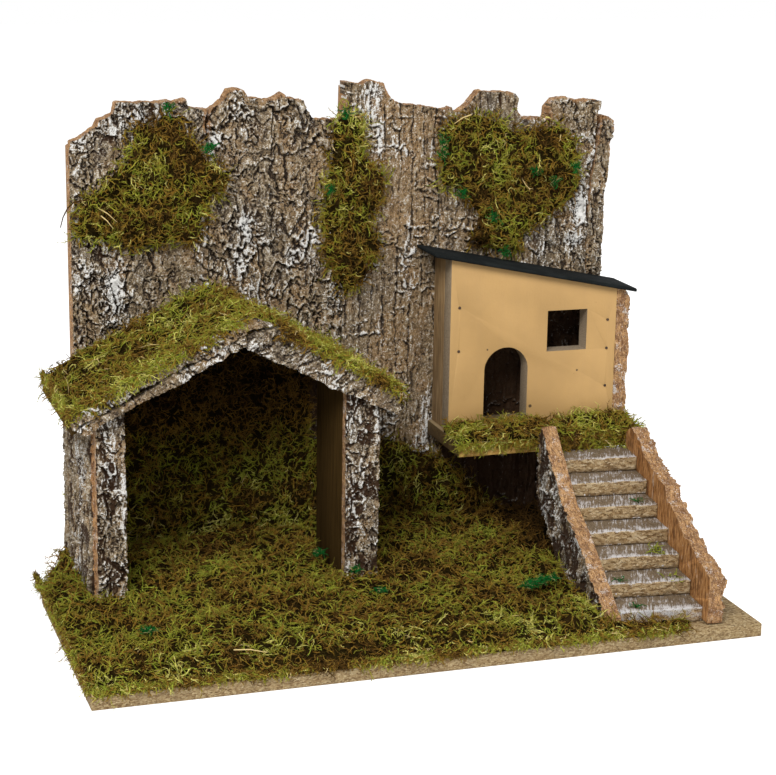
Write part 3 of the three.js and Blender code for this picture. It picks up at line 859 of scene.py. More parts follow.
def bark_material():
    c = colours()
    made, tree, shader = new_material("bark", 0.92, 0.2)
    grainy = noise(tree, place_of(tree), 0.0011, 3, 0.75)
    coarse = noise(tree, place_of(tree), 0.0034, 4, 0.75)
    streaks = noise(tree, place_of(tree, (1, 1, 4)), 0.0017, 4, 0.75)
    ridge = times_and_add(tree, grainy, 0.85, mark(tree, "ridge"))
    ridge = times_and_add(tree, coarse, 0.75, arithmetic(tree, "SUBTRACT", ridge, 0.80))
    body = marked(tree, c.bark, "warm", 0.6, c.bark_warm)
    body = marked(tree, body, "grey", 0.55, c.bark_grey)
    # Hollows take the fissure colour: their own dark bark, and painted shade by depth
    body = blend(tree, between(tree, ridge, 0.15, 0.45), c.bark_deep, body)
    pale = times_and_add(tree, between(tree, streaks, 0.40, 0.60), 0.65, 0.25)
    body = stained(tree, body, ridge, (0.46, 0.82), pale, c.bark_light)
    body = stained(tree, body, coarse, (0.46, 0.36), 0.55, c.bark_grey)
    pits = times_and_add(tree, grainy, 0.6, times(tree, coarse, 0.4))
    body = stained(tree, body, pits, (0.46, 0.40), 0.6, c.bark_deep)
    body = marked(tree, body, "torn", 0.8, c.sawn)
    wear = times_and_add(tree, streaks, 1.1, mark(tree, "brush"))
    wear = times_and_add(tree, grainy, 0.9, wear)
    painted = times(tree, between(tree, wear, 1.68, 1.84), 0.9)
    body = blend(tree, painted, body, c.white_brush)
    fleck = times_and_add(tree, grainy, 0.6, times(tree, coarse, 0.5))
    fleck = times_and_add(tree, mark(tree, "ridge"), 0.06, fleck)
    body = stained(tree, body, fleck, (0.62, 0.70), 0.55, c.white_brush)
    # Painted shade: near black in the deepest hollows, and over all the bark where the dark mark is high
    dark = times_and_add(tree, grainy, -0.45, arithmetic(tree, "ADD", mark(tree, "dark"), 0.62))
    dark = times_and_add(tree, mark(tree, "ridge"), -0.75, dark)
    body = stained(tree, body, dark, (0.30, 0.75), 0.97, (0.036, 0.016, 0.006))
    finish_with(tree, shader, body)
    bump(tree, shader, times_and_add(tree, coarse, 1.5, grainy), 0.0010)
    return made


def sawn_material():
    c = colours()
    made, tree, shader = new_material("sawn_bark", 0.85, 0.25)
    fibres = noise(tree, place_of(tree, (1, 3, 3)), 0.0016, 4, 0.75)
    blotch = noise(tree, place_of(tree), 0.007, 3)
    fine = noise(tree, place_of(tree), 0.0010, 3, 0.7)
    body = ramp(tree, fibres, [(0.36, (0.13, 0.055, 0.019)), (0.48, c.sawn), (0.62, (0.60, 0.35, 0.15))])
    body = stained(tree, body, blotch, (0.50, 0.60), 0.6, (0.20, 0.090, 0.038))
    body = stained(tree, body, fine, (0.56, 0.64), 0.5, (0.70, 0.58, 0.44))
    body = stained(tree, body, fine, (0.43, 0.37), 0.75, (0.07, 0.033, 0.015))
    swept = times_and_add(tree, fine, 0.6, noise(tree, place_of(tree), 0.009, 4, 0.75))
    body = stained(tree, body, swept, (0.88, 0.96), 0.55, c.white_brush)
    finish_with(tree, shader, body)
    bump(tree, shader, arithmetic(tree, "ADD", fibres, fine), 0.0012)
    return made


def heartwood_material():
    """The inner side of a bark slab: orange-brown, with coarse upright grain."""
    made, tree, shader = new_material("heartwood", 0.8, 0.25)
    grain = noise(tree, place_of(tree, (1, 1, 4)), 0.0026, 5, 0.75)
    blotch = noise(tree, place_of(tree, (1, 1, 2)), 0.010, 4, 0.7)
    tones = [(0.36, (0.10, 0.040, 0.012)), (0.48, (0.36, 0.155, 0.042)), (0.61, (0.56, 0.30, 0.12))]
    body = ramp(tree, grain, tones)
    body = stained(tree, body, blotch, (0.50, 0.62), 0.65, (0.13, 0.050, 0.018))
    body = stained(tree, body, blotch, (0.38, 0.30), 0.6, (0.62, 0.52, 0.42))
    finish_with(tree, shader, body)
    bump(tree, shader, grain, 0.0016)
    return made


def moss_bed_material():
    c = colours()
    made, tree, shader = new_material("moss_bed", 1.0, 0.0)
    felt = noise(tree, place_of(tree), 0.0022, 4, 0.7)
    patch = noise(tree, place_of(tree), 0.02, 2)
    # Very dark felt: its own brown, and painted shade in the gaps between the fronds
    tones = [(0.35, (0.010, 0.006, 0.002)), (0.55, c.moss_bed), (0.75, (0.075, 0.055, 0.012))]
    body = ramp(tree, felt, tones)
    body = stained(tree, body, patch, (0.5, 0.7), 0.6, (0.040, 0.022, 0.007))
    body = blend(tree, mark(tree, "dim"), body, (0.006, 0.004, 0.002))
    finish_with(tree, shader, body)
    bump(tree, shader, felt, 0.003)
    return made


# Tones of the fronds; the lowest, near black, are those that dim_at lowers, as painted shade
STRAND_TONES = [
    (0.00, (0.010, 0.006, 0.002)),
    (0.06, (0.060, 0.030, 0.007)),
    (0.16, (0.165, 0.080, 0.013)),
    (0.30, (0.300, 0.170, 0.022)),
    (0.40, (0.190, 0.165, 0.016)),
    (0.54, (0.330, 0.300, 0.032)),
    (0.68, (0.240, 0.290, 0.026)),
    (0.80, (0.430, 0.450, 0.055)),
    (0.86, (0.720, 0.640, 0.190)),
    (0.90, (0.640, 0.480, 0.210)),
    (0.94, (0.640, 0.480, 0.210)),
    (0.955, (0.004, 0.075, 0.014)),
    (1.00, (0.006, 0.210, 0.032)),
]


def moss_strand_material():
    """The map's first number is a frond's tone, lowered where dim_at paints shade over it, and its second runs from
    root to tip.
    """
    made, tree, shader = new_material("moss_strand", 0.9, 0.04)
    uv = put(tree, "ShaderNodeUVMap", uv_map=BAKE_MAP).outputs[0]
    split = put(tree, "ShaderNodeSeparateXYZ", {0: uv})
    tone = split.outputs[0]
    undyed, lit = between(tree, tone, 0.95, 0.93), between(tree, tone, 0.04, 0.20)
    body = ramp(tree, tone, STRAND_TONES)
    fleck = put(tree, "ShaderNodeTexNoise", {"Vector": uv, "Scale": 40.0, "Detail": 2.0}).outputs[0]
    flecked = times(tree, times(tree, between(tree, fleck, 0.5, 0.75), 0.3), lit)
    body = blend(tree, flecked, body, (0.10, 0.06, 0.018))
    # Darker toward the root: painted shade down in the moss
    root = between(tree, split.outputs[1], 0.50, 0.0)
    body = blend(tree, times(tree, root, 0.75), body, (0.016, 0.010, 0.003))
    tip = times(tree, between(tree, split.outputs[1], 0.50, 1.0), 0.32)
    tip = times(tree, times(tree, tip, undyed), lit)
    body = blend(tree, tip, body, blend(tree, 0.5, body, (0.76, 0.66, 0.22)))
    finish_with(tree, shader, body)
    return made


def chipped(tree, size, flat=1.0):
    """A shade of its own for each chip of pressed wood, and a finer speckle."""
    spot = place_of(tree, (1.5, 1.5, flat))
    chips = put(tree, "ShaderNodeTexVoronoi", {"Vector": spot, "Scale": 1.0 / size})
    shade = put(tree, "ShaderNodeSeparateColor", {0: chips.outputs["Color"]}).outputs[0]
    return shade, noise(tree, place_of(tree), 0.0008, 3, 0.75)


def chipboard_material():
    c = colours()
    made, tree, shader = new_material("chipboard", 0.9, 0.2)
    shade, speck = chipped(tree, 0.0011, 0.8)
    tones = [(0.0, (0.19, 0.115, 0.05)), (0.3, (0.31, 0.21, 0.10))]
    tones += [(0.7, c.chipboard), (1.0, (0.54, 0.42, 0.24))]
    body = ramp(tree, shade, tones)
    body = stained(tree, body, speck, (0.56, 0.70), 0.8, (0.13, 0.08, 0.04))
    dirt = noise(tree, place_of(tree), 0.025, 3)
    body = stained(tree, body, dirt, (0.45, 0.75), 0.4, (0.20, 0.145, 0.085))
    finish_with(tree, shader, body)
    bump(tree, shader, arithmetic(tree, "ADD", times(tree, shade, 0.5), speck), 0.0009)
    return made


def platform_edge_material():
    """A board with an orange-brown front edge, a left edge painted dark as painted shade, and a grey top."""
    made, tree, shader = new_material("platform_board", 0.8, 0.25)
    grain = noise(tree, place_of(tree, (6, 1, 1)), 0.0018, 4, 0.7)
    stain = noise(tree, place_of(tree), 0.012, 3)
    tones = [(0.3, (0.22, 0.105, 0.020)), (0.5, (0.52, 0.30, 0.075)), (0.7, (0.66, 0.44, 0.15))]
    body = ramp(tree, grain, tones)
    body = stained(tree, body, stain, (0.48, 0.72), 0.5, (0.13, 0.075, 0.022))
    way = put(tree, "ShaderNodeSeparateXYZ", {0: put(tree, "ShaderNodeNewGeometry").outputs["Normal"]})
    # Painted shade: the left edge, turned away from the light, is made near black
    leftward = times(tree, between(tree, way.outputs[0], -0.3, -0.8), 0.85)
    body = blend(tree, leftward, body, (0.03, 0.018, 0.009))
    body = stained(tree, body, way.outputs[2], (0.4, 0.8), 0.7, (0.19, 0.16, 0.11))
    finish_with(tree, shader, body)
    bump(tree, shader, grain, 0.0006)
    return made


def tread_top_material():
    """Weathered board with white brushed slantwise over it, most at the front edge."""
    made, tree, shader = new_material("tread_top", 0.88, 0.2)
    strokes = noise(tree, place_of(tree, (1, 14, 1), math.radians(-24)), 0.0012, 3, 0.75)
    speck = noise(tree, place_of(tree), 0.0011, 3, 0.7)
    spread = noise(tree, place_of(tree), 0.012, 2)
    tones = [(0.32, (0.07, 0.043, 0.022)), (0.5, (0.16, 0.115, 0.070)), (0.68, (0.27, 0.20, 0.125))]
    body = ramp(tree, speck, tones)
    level = times_and_add(tree, strokes, 0.9, times(tree, spread, 0.5))
    level = times_and_add(tree, mark(tree, "edge"), 0.12, level)
    painted = times(tree, between(tree, level, 0.70, 0.90), 0.75)
    body = blend(tree, painted, body, (0.70, 0.68, 0.68))
    finish_with(tree, shader, body)
    bump(tree, shader, speck, 0.0006)
    return made


def tread_front_material():
    """The broken chips of a tread's edge, tan, with dark holes."""
    made, tree, shader = new_material("tread_front", 0.9, 0.2)
    shade, speck = chipped(tree, 0.0017, 0.7)
    tones = [(0.0, (0.20, 0.115, 0.045)), (0.3, (0.38, 0.25, 0.12))]
    tones += [(0.7, (0.53, 0.38, 0.20)), (1.0, (0.68, 0.54, 0.34))]
    body = ramp(tree, shade, tones)
    body = blend(tree, between(tree, speck, 0.53, 0.66), body, (0.07, 0.04, 0.018))
    body = marked(tree, body, "low", 0.7, (0.10, 0.06, 0.03))
    level = times_and_add(tree, speck, -0.9, mark(tree, "white"))
    body = stained(tree, body, level, (0.0, 0.2), 0.9, (0.72, 0.71, 0.72))
    finish_with(tree, shader, body)
    bump(tree, shader, arithmetic(tree, "SUBTRACT", shade, speck), 0.0011)
    return made


def house_material():
    """Painted on its front only: the other faces are bare board."""
    c = colours()
    made, tree, shader = new_material("house_front", 0.62, 0.3)
    soft = noise(tree, place_of(tree), 0.05, 3)
    brushed = noise(tree, place_of(tree, (1, 1, 12)), 0.006, 3)
    speck = noise(tree, place_of(tree), 0.0022, 2)
    paint = blend(tree, between(tree, soft, 0.35, 0.65), c.house, toned(c.house, 0.90))
    paint = stained(tree, paint, brushed, (0.4, 0.7), 0.12, (0.40, 0.25, 0.11))
    paint = stained(tree, paint, speck, (0.76, 0.79), 0.6, (0.20, 0.11, 0.05))
    for across, up, wide in HOUSE_SPOTS:
        away = times_and_add(tree, speck, 0.0012, near_place(tree, across, up))
        paint = stained(tree, paint, away, (wide + 0.0010, wide + 0.0004), 0.85, (0.035, 0.022, 0.015))
    speckle = noise(tree, place_of(tree), 0.0009, 3, 0.75)
    tones = [(0.34, (0.12, 0.085, 0.05)), (0.5, (0.29, 0.22, 0.145)), (0.66, (0.42, 0.33, 0.23))]
    bare = ramp(tree, speckle, tones)
    normal = put(tree, "ShaderNodeNewGeometry").outputs["Normal"]
    facing = put(tree, "ShaderNodeSeparateXYZ", {0: normal}).outputs[1]
    painted = between(tree, times(tree, facing, -1.0), 0.45, 0.85)
    finish_with(tree, shader, blend(tree, painted, bare, paint))
    bump(tree, shader, arithmetic(tree, "ADD", brushed, speck), 0.00015)
    return made


def house_side_material():
    c = colours()
    made, tree, shader = new_material("house_side", 0.8, 0.25)
    grain = noise(tree, place_of(tree, (1, 1, 16)), 0.0018, 4, 0.7)
    wide = noise(tree, place_of(tree, (1, 1, 5)), 0.012, 3)
    tones = [(0.3, toned(c.house_edge, 0.5)), (0.5, c.house_edge), (0.7, (0.42, 0.29, 0.15))]
    body = ramp(tree, grain, tones)
    body = stained(tree, body, wide, (0.5, 0.7), 0.45, (0.11, 0.07, 0.035))
    finish_with(tree, shader, body)
    bump(tree, shader, grain, 0.0006)
    return made


def slate_material():
    c = colours()
    made, tree, shader = new_material("house_roof", 0.9, 0.06)
    soft = noise(tree, place_of(tree), 0.02, 4, 0.65)
    fine = noise(tree, place_of(tree), 0.0015, 3)
    body = blend(tree, between(tree, soft, 0.4, 0.7), c.slate, toned(c.slate, 1.6))
    body = stained(tree, body, fine, (0.64, 0.74), 0.3, (0.10, 0.095, 0.08))
    finish_with(tree, shader, body)
    bump(tree, shader, fine, 0.0004)
    return made


def dark_wood_material():
    c = colours()
    made, tree, shader = new_material("stained_wood", 0.9, 0.03)
    grain = noise(tree, place_of(tree, (1, 1, 14)), 0.0025, 4, 0.7)
    tones = [(0.3, toned(c.dark_wood, 0.6)), (0.5, c.dark_wood), (0.72, toned(c.dark_wood, 1.5))]
    body = ramp(tree, grain, tones)
    finish_with(tree, shader, body)
    bump(tree, shader, grain, 0.0007)
    return made


def panel_material():
    c = colours()
    made, tree, shader = new_material("backing_panel", 0.8, 0.3)
    mottle = noise(tree, place_of(tree), 0.004, 5, 0.7)
    wide = noise(tree, place_of(tree), 0.06, 3)
    tones = [(0.3, toned(c.panel, 0.6)), (0.5, c.panel), (0.7, toned(c.panel, 1.35))]
    body = ramp(tree, mottle, tones)
    body = stained(tree, body, wide, (0.4, 0.7), 0.3, (0.20, 0.11, 0.05))
    finish_with(tree, shader, body)
    bump(tree, shader, mottle, 0.0004)
    return made


def nail_material():
    made, tree, shader = new_material("nail", 0.5, 0.5)
    rust = noise(tree, place_of(tree), 0.0008, 3)
    body = ramp(tree, rust, [(0.35, (0.030, 0.022, 0.018)), (0.6, (0.085, 0.045, 0.025))])
    shader.inputs["Metallic"].default_value = 0.6
    finish_with(tree, shader, body)
    bump(tree, shader, rust, 0.0002)
    return made


# Bark


def jagged(x, y, seed):
    """Places shifted a little here and there, so that what is laid over them gets torn edges."""
    u = x + 10 * (cloudy(x / 10, y / 16, seed + 1) - 0.5)
    v = y + 30 * (cloudy(x / 11, y / 17, seed + 2) - 0.5)
    fine_u = 2.2 * (cloudy(x / 2.2, y / 3, seed + 21, 2) - 0.5)
    fine_v = 2.2 * (cloudy(x / 2.4, y / 3, seed + 22, 2) - 0.5)
    return u + fine_u, v + fine_v


def curled_edges(u, v, seed, wide, tall):
    """The lower edges of flakes of one size in millimetres: 1 on a curled edge, below 0 under it."""
    _, _, key, side, up = cells(u / wide, v / tall, seed + 4)
    over = up - 0.7 * side**2
    edge = np.exp(-(((over + 0.14) / 0.18) ** 2)) - 0.7 * np.exp(-(((over + 0.40) / 0.09) ** 2))
    broken = smooth((cloudy(u / (0.3 * wide), v / (0.37 * tall), seed + 19, 2) - 0.16) / 0.3)
    return edge * broken * smooth((key - 0.28) / 0.2)


def bark_relief(seed, lean=0.0, deep=1.0, scale=1.0, curled=0.0):
    """Relief of weathered bark in millimetres: layers that end in lifted lips, overlapping scales,
    and furrows along the grain. lean turns the grain from the upright, and curled is how far the
    edges of large flakes stand off."""
    c, s = math.cos(lean), math.sin(lean)

    def relief(a, b):
        x, y = (a * c + b * s) / scale, (b * c - a * s) / scale
        u, v = jagged(x, y, seed)
        _, _, key, _, up = cells(u / 11, v / 24, seed + 4)
        layer = 4.0 * cloudy(u / 13, v / 34, seed + 5, 3) + 2.2 * key - 0.5 * up
        part = layer - np.floor(layer)
        lip, foot = np.exp(-part / 0.10), np.exp(-(1 - part) / 0.06)
        furrow = smooth((0.14 - np.abs(2 * cloudy(u / 9, v / 75, seed + 6, 3) - 1)) / 0.12)
        torn = smooth((cloudy(x / 30, y / 55, seed + 7, 2) - 0.35) / 0.25)
        scaly = 0.35 + 0.65 * smooth((cloudy(x / 26, y / 40, seed + 16, 2) - 0.30) / 0.3)
        _, _, key, _, up = cells(u / 10, v / 13, seed + 15)
        near, after, _, _, _ = cells(u / 5, v / 8, seed + 18)
        crack = smooth((0.16 - (after - near)) / 0.14)
        high = 1.1 * (np.floor(layer) + 0.3 * part) * (0.25 + 0.75 * torn)
        high += 0.7 * lip * torn - 1.4 * foot * (0.3 + 0.7 * torn) - 2.2 * furrow
        high += 2.2 * scaly * (0.8 * key - 0.9 * np.clip(up, -0.7, 0.7))
        high += 1.6 * cloudy(x / 40, y / 70, seed + 8, 2) + 1.2 * cloudy(u / 7, v / 11, seed + 17, 3)
        high += 0.8 * cloudy(u / 1.5, v / 8, seed + 9, 3) + 0.5 * value_noise(x / 0.9, y / 0.9, seed + 10)
        high -= 0.9 * crack * (0.3 + 0.7 * scaly)
        if curled:
            high += curled * curled_edges(u, v, seed + 60, 20.0, 17.0)
        high = high - blurred(high, BARK_FINE / (a[0, 1] - a[0, 0]))
        return np.clip(deep * high, -5, 5)

    return relief


def flaky_relief(seed, deep=1.0):
    """Relief of smoother bark in millimetres: upright strips with thin seams between them, and small
    curled flakes that stand off at their lower edges."""

    def relief(a, b):
        u = a + 5 * (cloudy(a / 14, b / 40, seed + 1) - 0.5)
        u = u + 1.5 * (cloudy(a / 2.5, b / 5, seed + 21, 2) - 0.5)
        v = b + 9 * (cloudy(a / 9, b / 12, seed + 2) - 0.5)
        v = v + 1.5 * (cloudy(a / 2.2, b / 3, seed + 22, 2) - 0.5)
        strip = u / 11 - np.floor(u / 11)
        seam = np.exp(-((np.minimum(strip, 1 - strip) / 0.06) ** 2)) * cloudy(a / 9, b / 30, seed + 3, 2)
        curled = smooth((cloudy(a / 20, b / 26, seed + 7, 2) - 0.36) / 0.16)
        near, after, _, _, _ = cells(u / 5, v / 9, seed + 18)
        crack = smooth((0.14 - (after - near)) / 0.12)
        high = 2.3 * curled * curled_edges(u, v, seed, 10.0, 8.0) - 1.7 * seam - 0.5 * crack
        high += 1.6 * cloudy(a / 30, b / 60, seed + 8, 2) + 1.6 * cloudy(u / 5, v / 9, seed + 17, 3)
        high += 1.2 * cloudy(u / 1.3, v / 9, seed + 9, 3) + 0.6 * value_noise(a / 0.9, b / 0.9, seed + 10)
        high = high - blurred(high, BARK_FINE / (a[0, 1] - a[0, 0]))
        return np.clip(deep * high, -5, 5)

    return relief


def swells(a, b, places):
    """1 in the middle of each soft ellipse, which is given by its place across and up, half its width
    and half its height in millimetres, and its lean to the right in degrees."""
    total = np.zeros(np.shape(a))
    for across, up, wide, tall, lean in places:
        c, s = math.cos(math.radians(lean)), math.sin(math.radians(lean))
        side, along = (a - across) * c - (b - up) * s, (b - up) * c + (a - across) * s
        total = np.maximum(total, np.exp(-((side / wide) ** 2) - (along / tall) ** 2))
    return total


def bark_marks(seed, step, brushing, dark_at=None, torn_at=None, swept_at=()):
    """What the bark's material reads: how far a point stands over its surroundings, where it is
    warmer or greyer, how much white the brush left, where the edge is torn, and where it is painted dark:
    painted shade where dark_at is shaded, and dark patches elsewhere.
    swept_at names the places with more white, with warm bark and with dark bark."""
    white_at, warm_at, grey_at = swept_at or ((), (), ())

    def marks(a, b, height, cover):
        near = height - blurred(height, 1.5 / step)
        wide = height - blurred(height, 6.0 / step)
        ridge = np.clip(0.5 + 0.34 * near + 0.10 * wide, 0, 1)
        warm = smooth((cloudy(a / 13, b / 19, seed + 30, 3) - 0.45) / 0.3)
        warmed, sooted = swells(a, b, warm_at), swells(a, b, grey_at)
        warm = np.clip(warm + 0.9 * warmed, 0, 1.2)
        grey = smooth((cloudy(a / 17, b / 26, seed + 31, 3) - 0.5) / 0.25) * (1 - warmed) + sooted
        swept = cloudy(a / 16, b / 30, seed + 8, 3)
        patches = smooth((cloudy(a / 34, b / 60, seed + 9, 2) - 0.45) / 0.3)
        brush = 0.55 * ridge + 0.55 * (brushing * (0.4 + 0.7 * swept) + 0.4 * patches * swept)
        brush += 0.36 * swells(a, b, white_at) - 0.05 * warm
        # Where the bark is painted dark: painted shade when dark_at is shaded
        dark = np.zeros(a.shape) if dark_at is None else dark_at(a, b)
        dark = np.maximum(dark, 0.5 * sooted * smooth((cloudy(a / 5, b / 9, seed + 34, 3) - 0.3) / 0.4))
        torn = np.zeros(a.shape) if torn_at is None else torn_at(a, b)
        torn = torn * smooth((0.97 - cover - 0.25 * cloudy(a / 4, b / 4, seed + 33, 2)) / 0.2)
        torn = torn * smooth((cloudy(a / 16, b / 16, seed + 35, 2) - 0.42) / 0.16)
        return {"ridge": ridge, "warm": warm, "grey": grey, "brush": brush, "dark": dark, "torn": torn}

    return marks


def shaded(a, b):
    """Near 1 behind the house's front, in the stable and under the platform: where shade is painted dark onto the
    bark.
    """
    left, right = (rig.box(node) for node in ("house_left_wall", "house_right_wall"))
    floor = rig.box("platform_board")
    within = (a > left[1][0] / MM) & (a < right[0][0] / MM)
    share = (a - left[1][0] / MM) * MM / (right[0][0] - left[1][0])
    eave = (left[1][2] + share * (right[1][2] - left[1][2])) / MM
    room = within & (b > floor[1][2] / MM) & (b < eave)
    below = smooth((a - floor[0][0] / MM) / 20) * smooth((floor[0][2] / MM - b) / 10)
    ridge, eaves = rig.box("roof_board_right")[0][0] / MM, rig.box("roof_board_right")[1][2] / MM
    walls = (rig.box("stable_left_wall")[0][0] / MM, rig.box("stable_right_post")[1][0] / MM)
    stable = (a > walls[0]) & (a < walls[1]) & (b < eaves - np.abs(a - ridge) * math.tan(ROOF_PITCH))
    return np.maximum(np.maximum(room, 0.95 * below), 0.95 * stable)


def dusty(a, b):
    """Bark with dark patches, and a little darker all over."""
    return 0.06 + 0.58 * smooth((cloudy(a / 8, b / 15, 51, 3) - 0.48) / 0.22)


def sooty(a, b):
    """Bark with more and darker patches."""
    return 0.26 + 0.50 * smooth((cloudy(a / 8, b / 15, 52, 3) - 0.42) / 0.20)


def bark_piece(node, toward, seed, lean=0.0, turn=0.0, rough=0.5, top_rough=None, deep=1.15, scale=1.0,
               brushing=0.5, rows=1, side_rough=0.0, dark_at=None, sides="sawn", inner="sawn", seams=False,
               swept_at=(), rim_share=1.0, flaky=False, curled=0.0):
    """A bark body over a node's outline: its face in relief, its sides sawn or torn. top_rough is how
    far its edge is torn near its top, where that differs."""
    surface = Surface(node, toward, turn)
    step = sizes().bark_grid / MM
    rough_at_top = rough if top_rough is None else top_rough

    def near_top(a, b):
        return smooth((b - (surface.top - 42)) / 12)

    def roughness(a, b):
        return rough + (rough_at_top - rough) * near_top(a, b)

    torn_at = None if top_rough is None else near_top
    loops = [ragged(loop, 1.0, roughness, seed) for loop in surface.loops]
    relief = flaky_relief(seed, deep) if flaky else bark_relief(seed, lean, deep, scale, curled)
    marks_of = bark_marks(seed, step, brushing, dark_at, torn_at, swept_at)
    verts, faces, slots, marks = relief_solid(
        loops, surface, relief, step, marks_of, turn, rows, side_rough, seams, rim_share
    )
    skins = [material("bark"), material(sides), material(inner), material("bark")]
    piece = mesh_object(node + "_face", verts, faces, skins, slots, marks, sharp=math.radians(70))
    return settle(piece, "bark", node)


# Moss


def unit(vectors):
    return vectors / np.maximum(np.linalg.norm(vectors, axis=-1, keepdims=True), 1e-9)


def three_round(middle, width, side, over):
    """Three points round a middle, as a list."""
    turns = [2 * math.pi * corner / 3 for corner in range(3)]
    return [middle + width * (math.cos(turn) * side + math.sin(turn) * over) for turn in turns]


def spikes(starts, tips, width, side):
    """Three-sided spikes from a base to a tip, as points in rows of four."""
    heading = unit(tips - starts)
    across = unit(np.cross(heading, side + 0.01))
    over = np.cross(across, heading)
    return np.stack(three_round(starts, width, across, over) + [tips], axis=1)


def bent_stems(roots, normals, headings, lengths, rng, lift, curl):
    """Places along curled stems, and the way that each stem goes there."""
    count = len(roots)
    step = (lengths / FROND_RINGS)[:, None]
    rise = np.sin(lift * rng.uniform(-0.3, 2.0, count))[:, None]
    heading = unit(headings + rise * normals)
    axis = unit(1.2 * normals * rng.choice([-1, 1], (count, 1)) + 0.7 * rng.normal(size=(count, 3)))
    angle = (curl * rng.uniform(0.0, 1.2, count))[:, None]
    spots, ways = [roots], [heading]
    for _ in range(FROND_RINGS):
        spots.append(spots[-1] + heading * step)
        heading = heading * np.cos(angle) + np.cross(axis, heading) * np.sin(angle)
        heading = unit(heading - 0.10 * normals)
        ways.append(heading)
    return spots, ways


def frond_points(spots, ways, normals, lengths, width, rng):
    """The points of each frond: its stem's rings and tip, then four for each side leaf."""
    count, rows = len(normals), []
    for ring in range(FROND_RINGS):
        side = unit(np.cross(ways[ring], normals + 0.01))
        over = np.cross(side, ways[ring])
        rows += three_round(spots[ring], width * (1.0 - 0.11 * ring), side, over)
    blocks = [np.stack(rows + [spots[FROND_RINGS]], axis=1)]
    for leaf in range(FROND_LEAVES):
        ring = 1 + leaf
        share = rng.uniform(0, 1, (count, 1))
        start = spots[ring] * (1 - share) + spots[ring + 1] * share
        side = unit(np.cross(ways[ring], normals)) * (1 if leaf % 2 else -1)
        spread = side * rng.uniform(0.4, 1.0, (count, 1)) + normals * rng.uniform(-0.2, 0.4, (count, 1))
        reach = (lengths * rng.uniform(0.15, 0.36, count))[:, None]
        blocks.append(spikes(start, start + unit(ways[ring] + spread) * reach, width * 0.75, normals))
    points = np.concatenate(blocks, axis=1)
    points[..., 2] = np.maximum(points[..., 2], GROUND)
    return points


def frond_faces():
    """The quads and then the triangles of one frond: their corners, how far along the frond each corner
    lies, and which way each lies off the middle of its map."""
    quads, quad_along, tris, tri_along = [], [], [], []
    for ring in range(FROND_RINGS - 1):
        low, high = ring / FROND_RINGS, (ring + 1) / FROND_RINGS
        for corner in range(3):
            first, after = 3 * ring + corner, 3 * ring + (corner + 1) % 3
            quads.append((first, after, after + 3, first + 3))
            quad_along.append((low, low, high, high))
    last = 3 * (FROND_RINGS - 1)
    tops = [(last, last + 3, (FROND_RINGS - 1) / FROND_RINGS, True)]
    tops += [(last + 4 + 4 * leaf, last + 7 + 4 * leaf, 0.45, False) for leaf in range(FROND_LEAVES)]
    for first, tip, low, stem in tops:
        for corner in range(3):
            tris.append((first + corner, first + (corner + 1) % 3, tip))
            tri_along.append((low, low, 1.0))
        tris.append((2, 1, 0) if stem else (first + 2, first + 1, first))
        tri_along.append((0.0, 0.02, 0.0) if stem else (low, low + 0.02, low))
    return (quads, quad_along, (-1, 1, 1, -1)), (tris, tri_along, (-1, 1, 0))


def frond_piece(name, roots, normals, headings, tones, rng, size, lift=0.4, curl=0.8):
    """Curled moss fronds: a bent stem and a few side leaves, all as slim closed spikes. Millimetres."""
    count = len(roots)
    long, thick = size * sizes().strand_long / MM, sizes().strand_thick / MM
    lengths = long * np.clip(np.exp(0.38 * rng.normal(size=count)), 0.4, 1.8)
    spots, ways = bent_stems(roots, normals, headings, lengths, rng, lift, curl)
    width = thick * rng.uniform(0.6, 1.3, count)[:, None] / 2
    points = frond_points(spots, ways, normals, lengths, width, rng)
    start = (np.arange(count) * points.shape[1])[:, None, None]
    faces, uv = [], []
    for corners, places, across in frond_faces():
        faces.append((start + np.array(corners)[None]).reshape(-1, len(across)))
        along = np.broadcast_to(np.array(places)[None], (count, len(places), len(across)))
        tone = 0.02 + 0.96 * tones[:, None, None] + 0.006 * np.array(across)[None, None]
        uv.append(np.stack([np.broadcast_to(tone, along.shape), along], axis=-1).reshape(-1, 2))
    skins = [material("moss_strand")]
    piece = mesh_object(name, points.reshape(-1, 3) * MM, faces, skins, uv=np.concatenate(uv))
    return settle(piece, "moss")


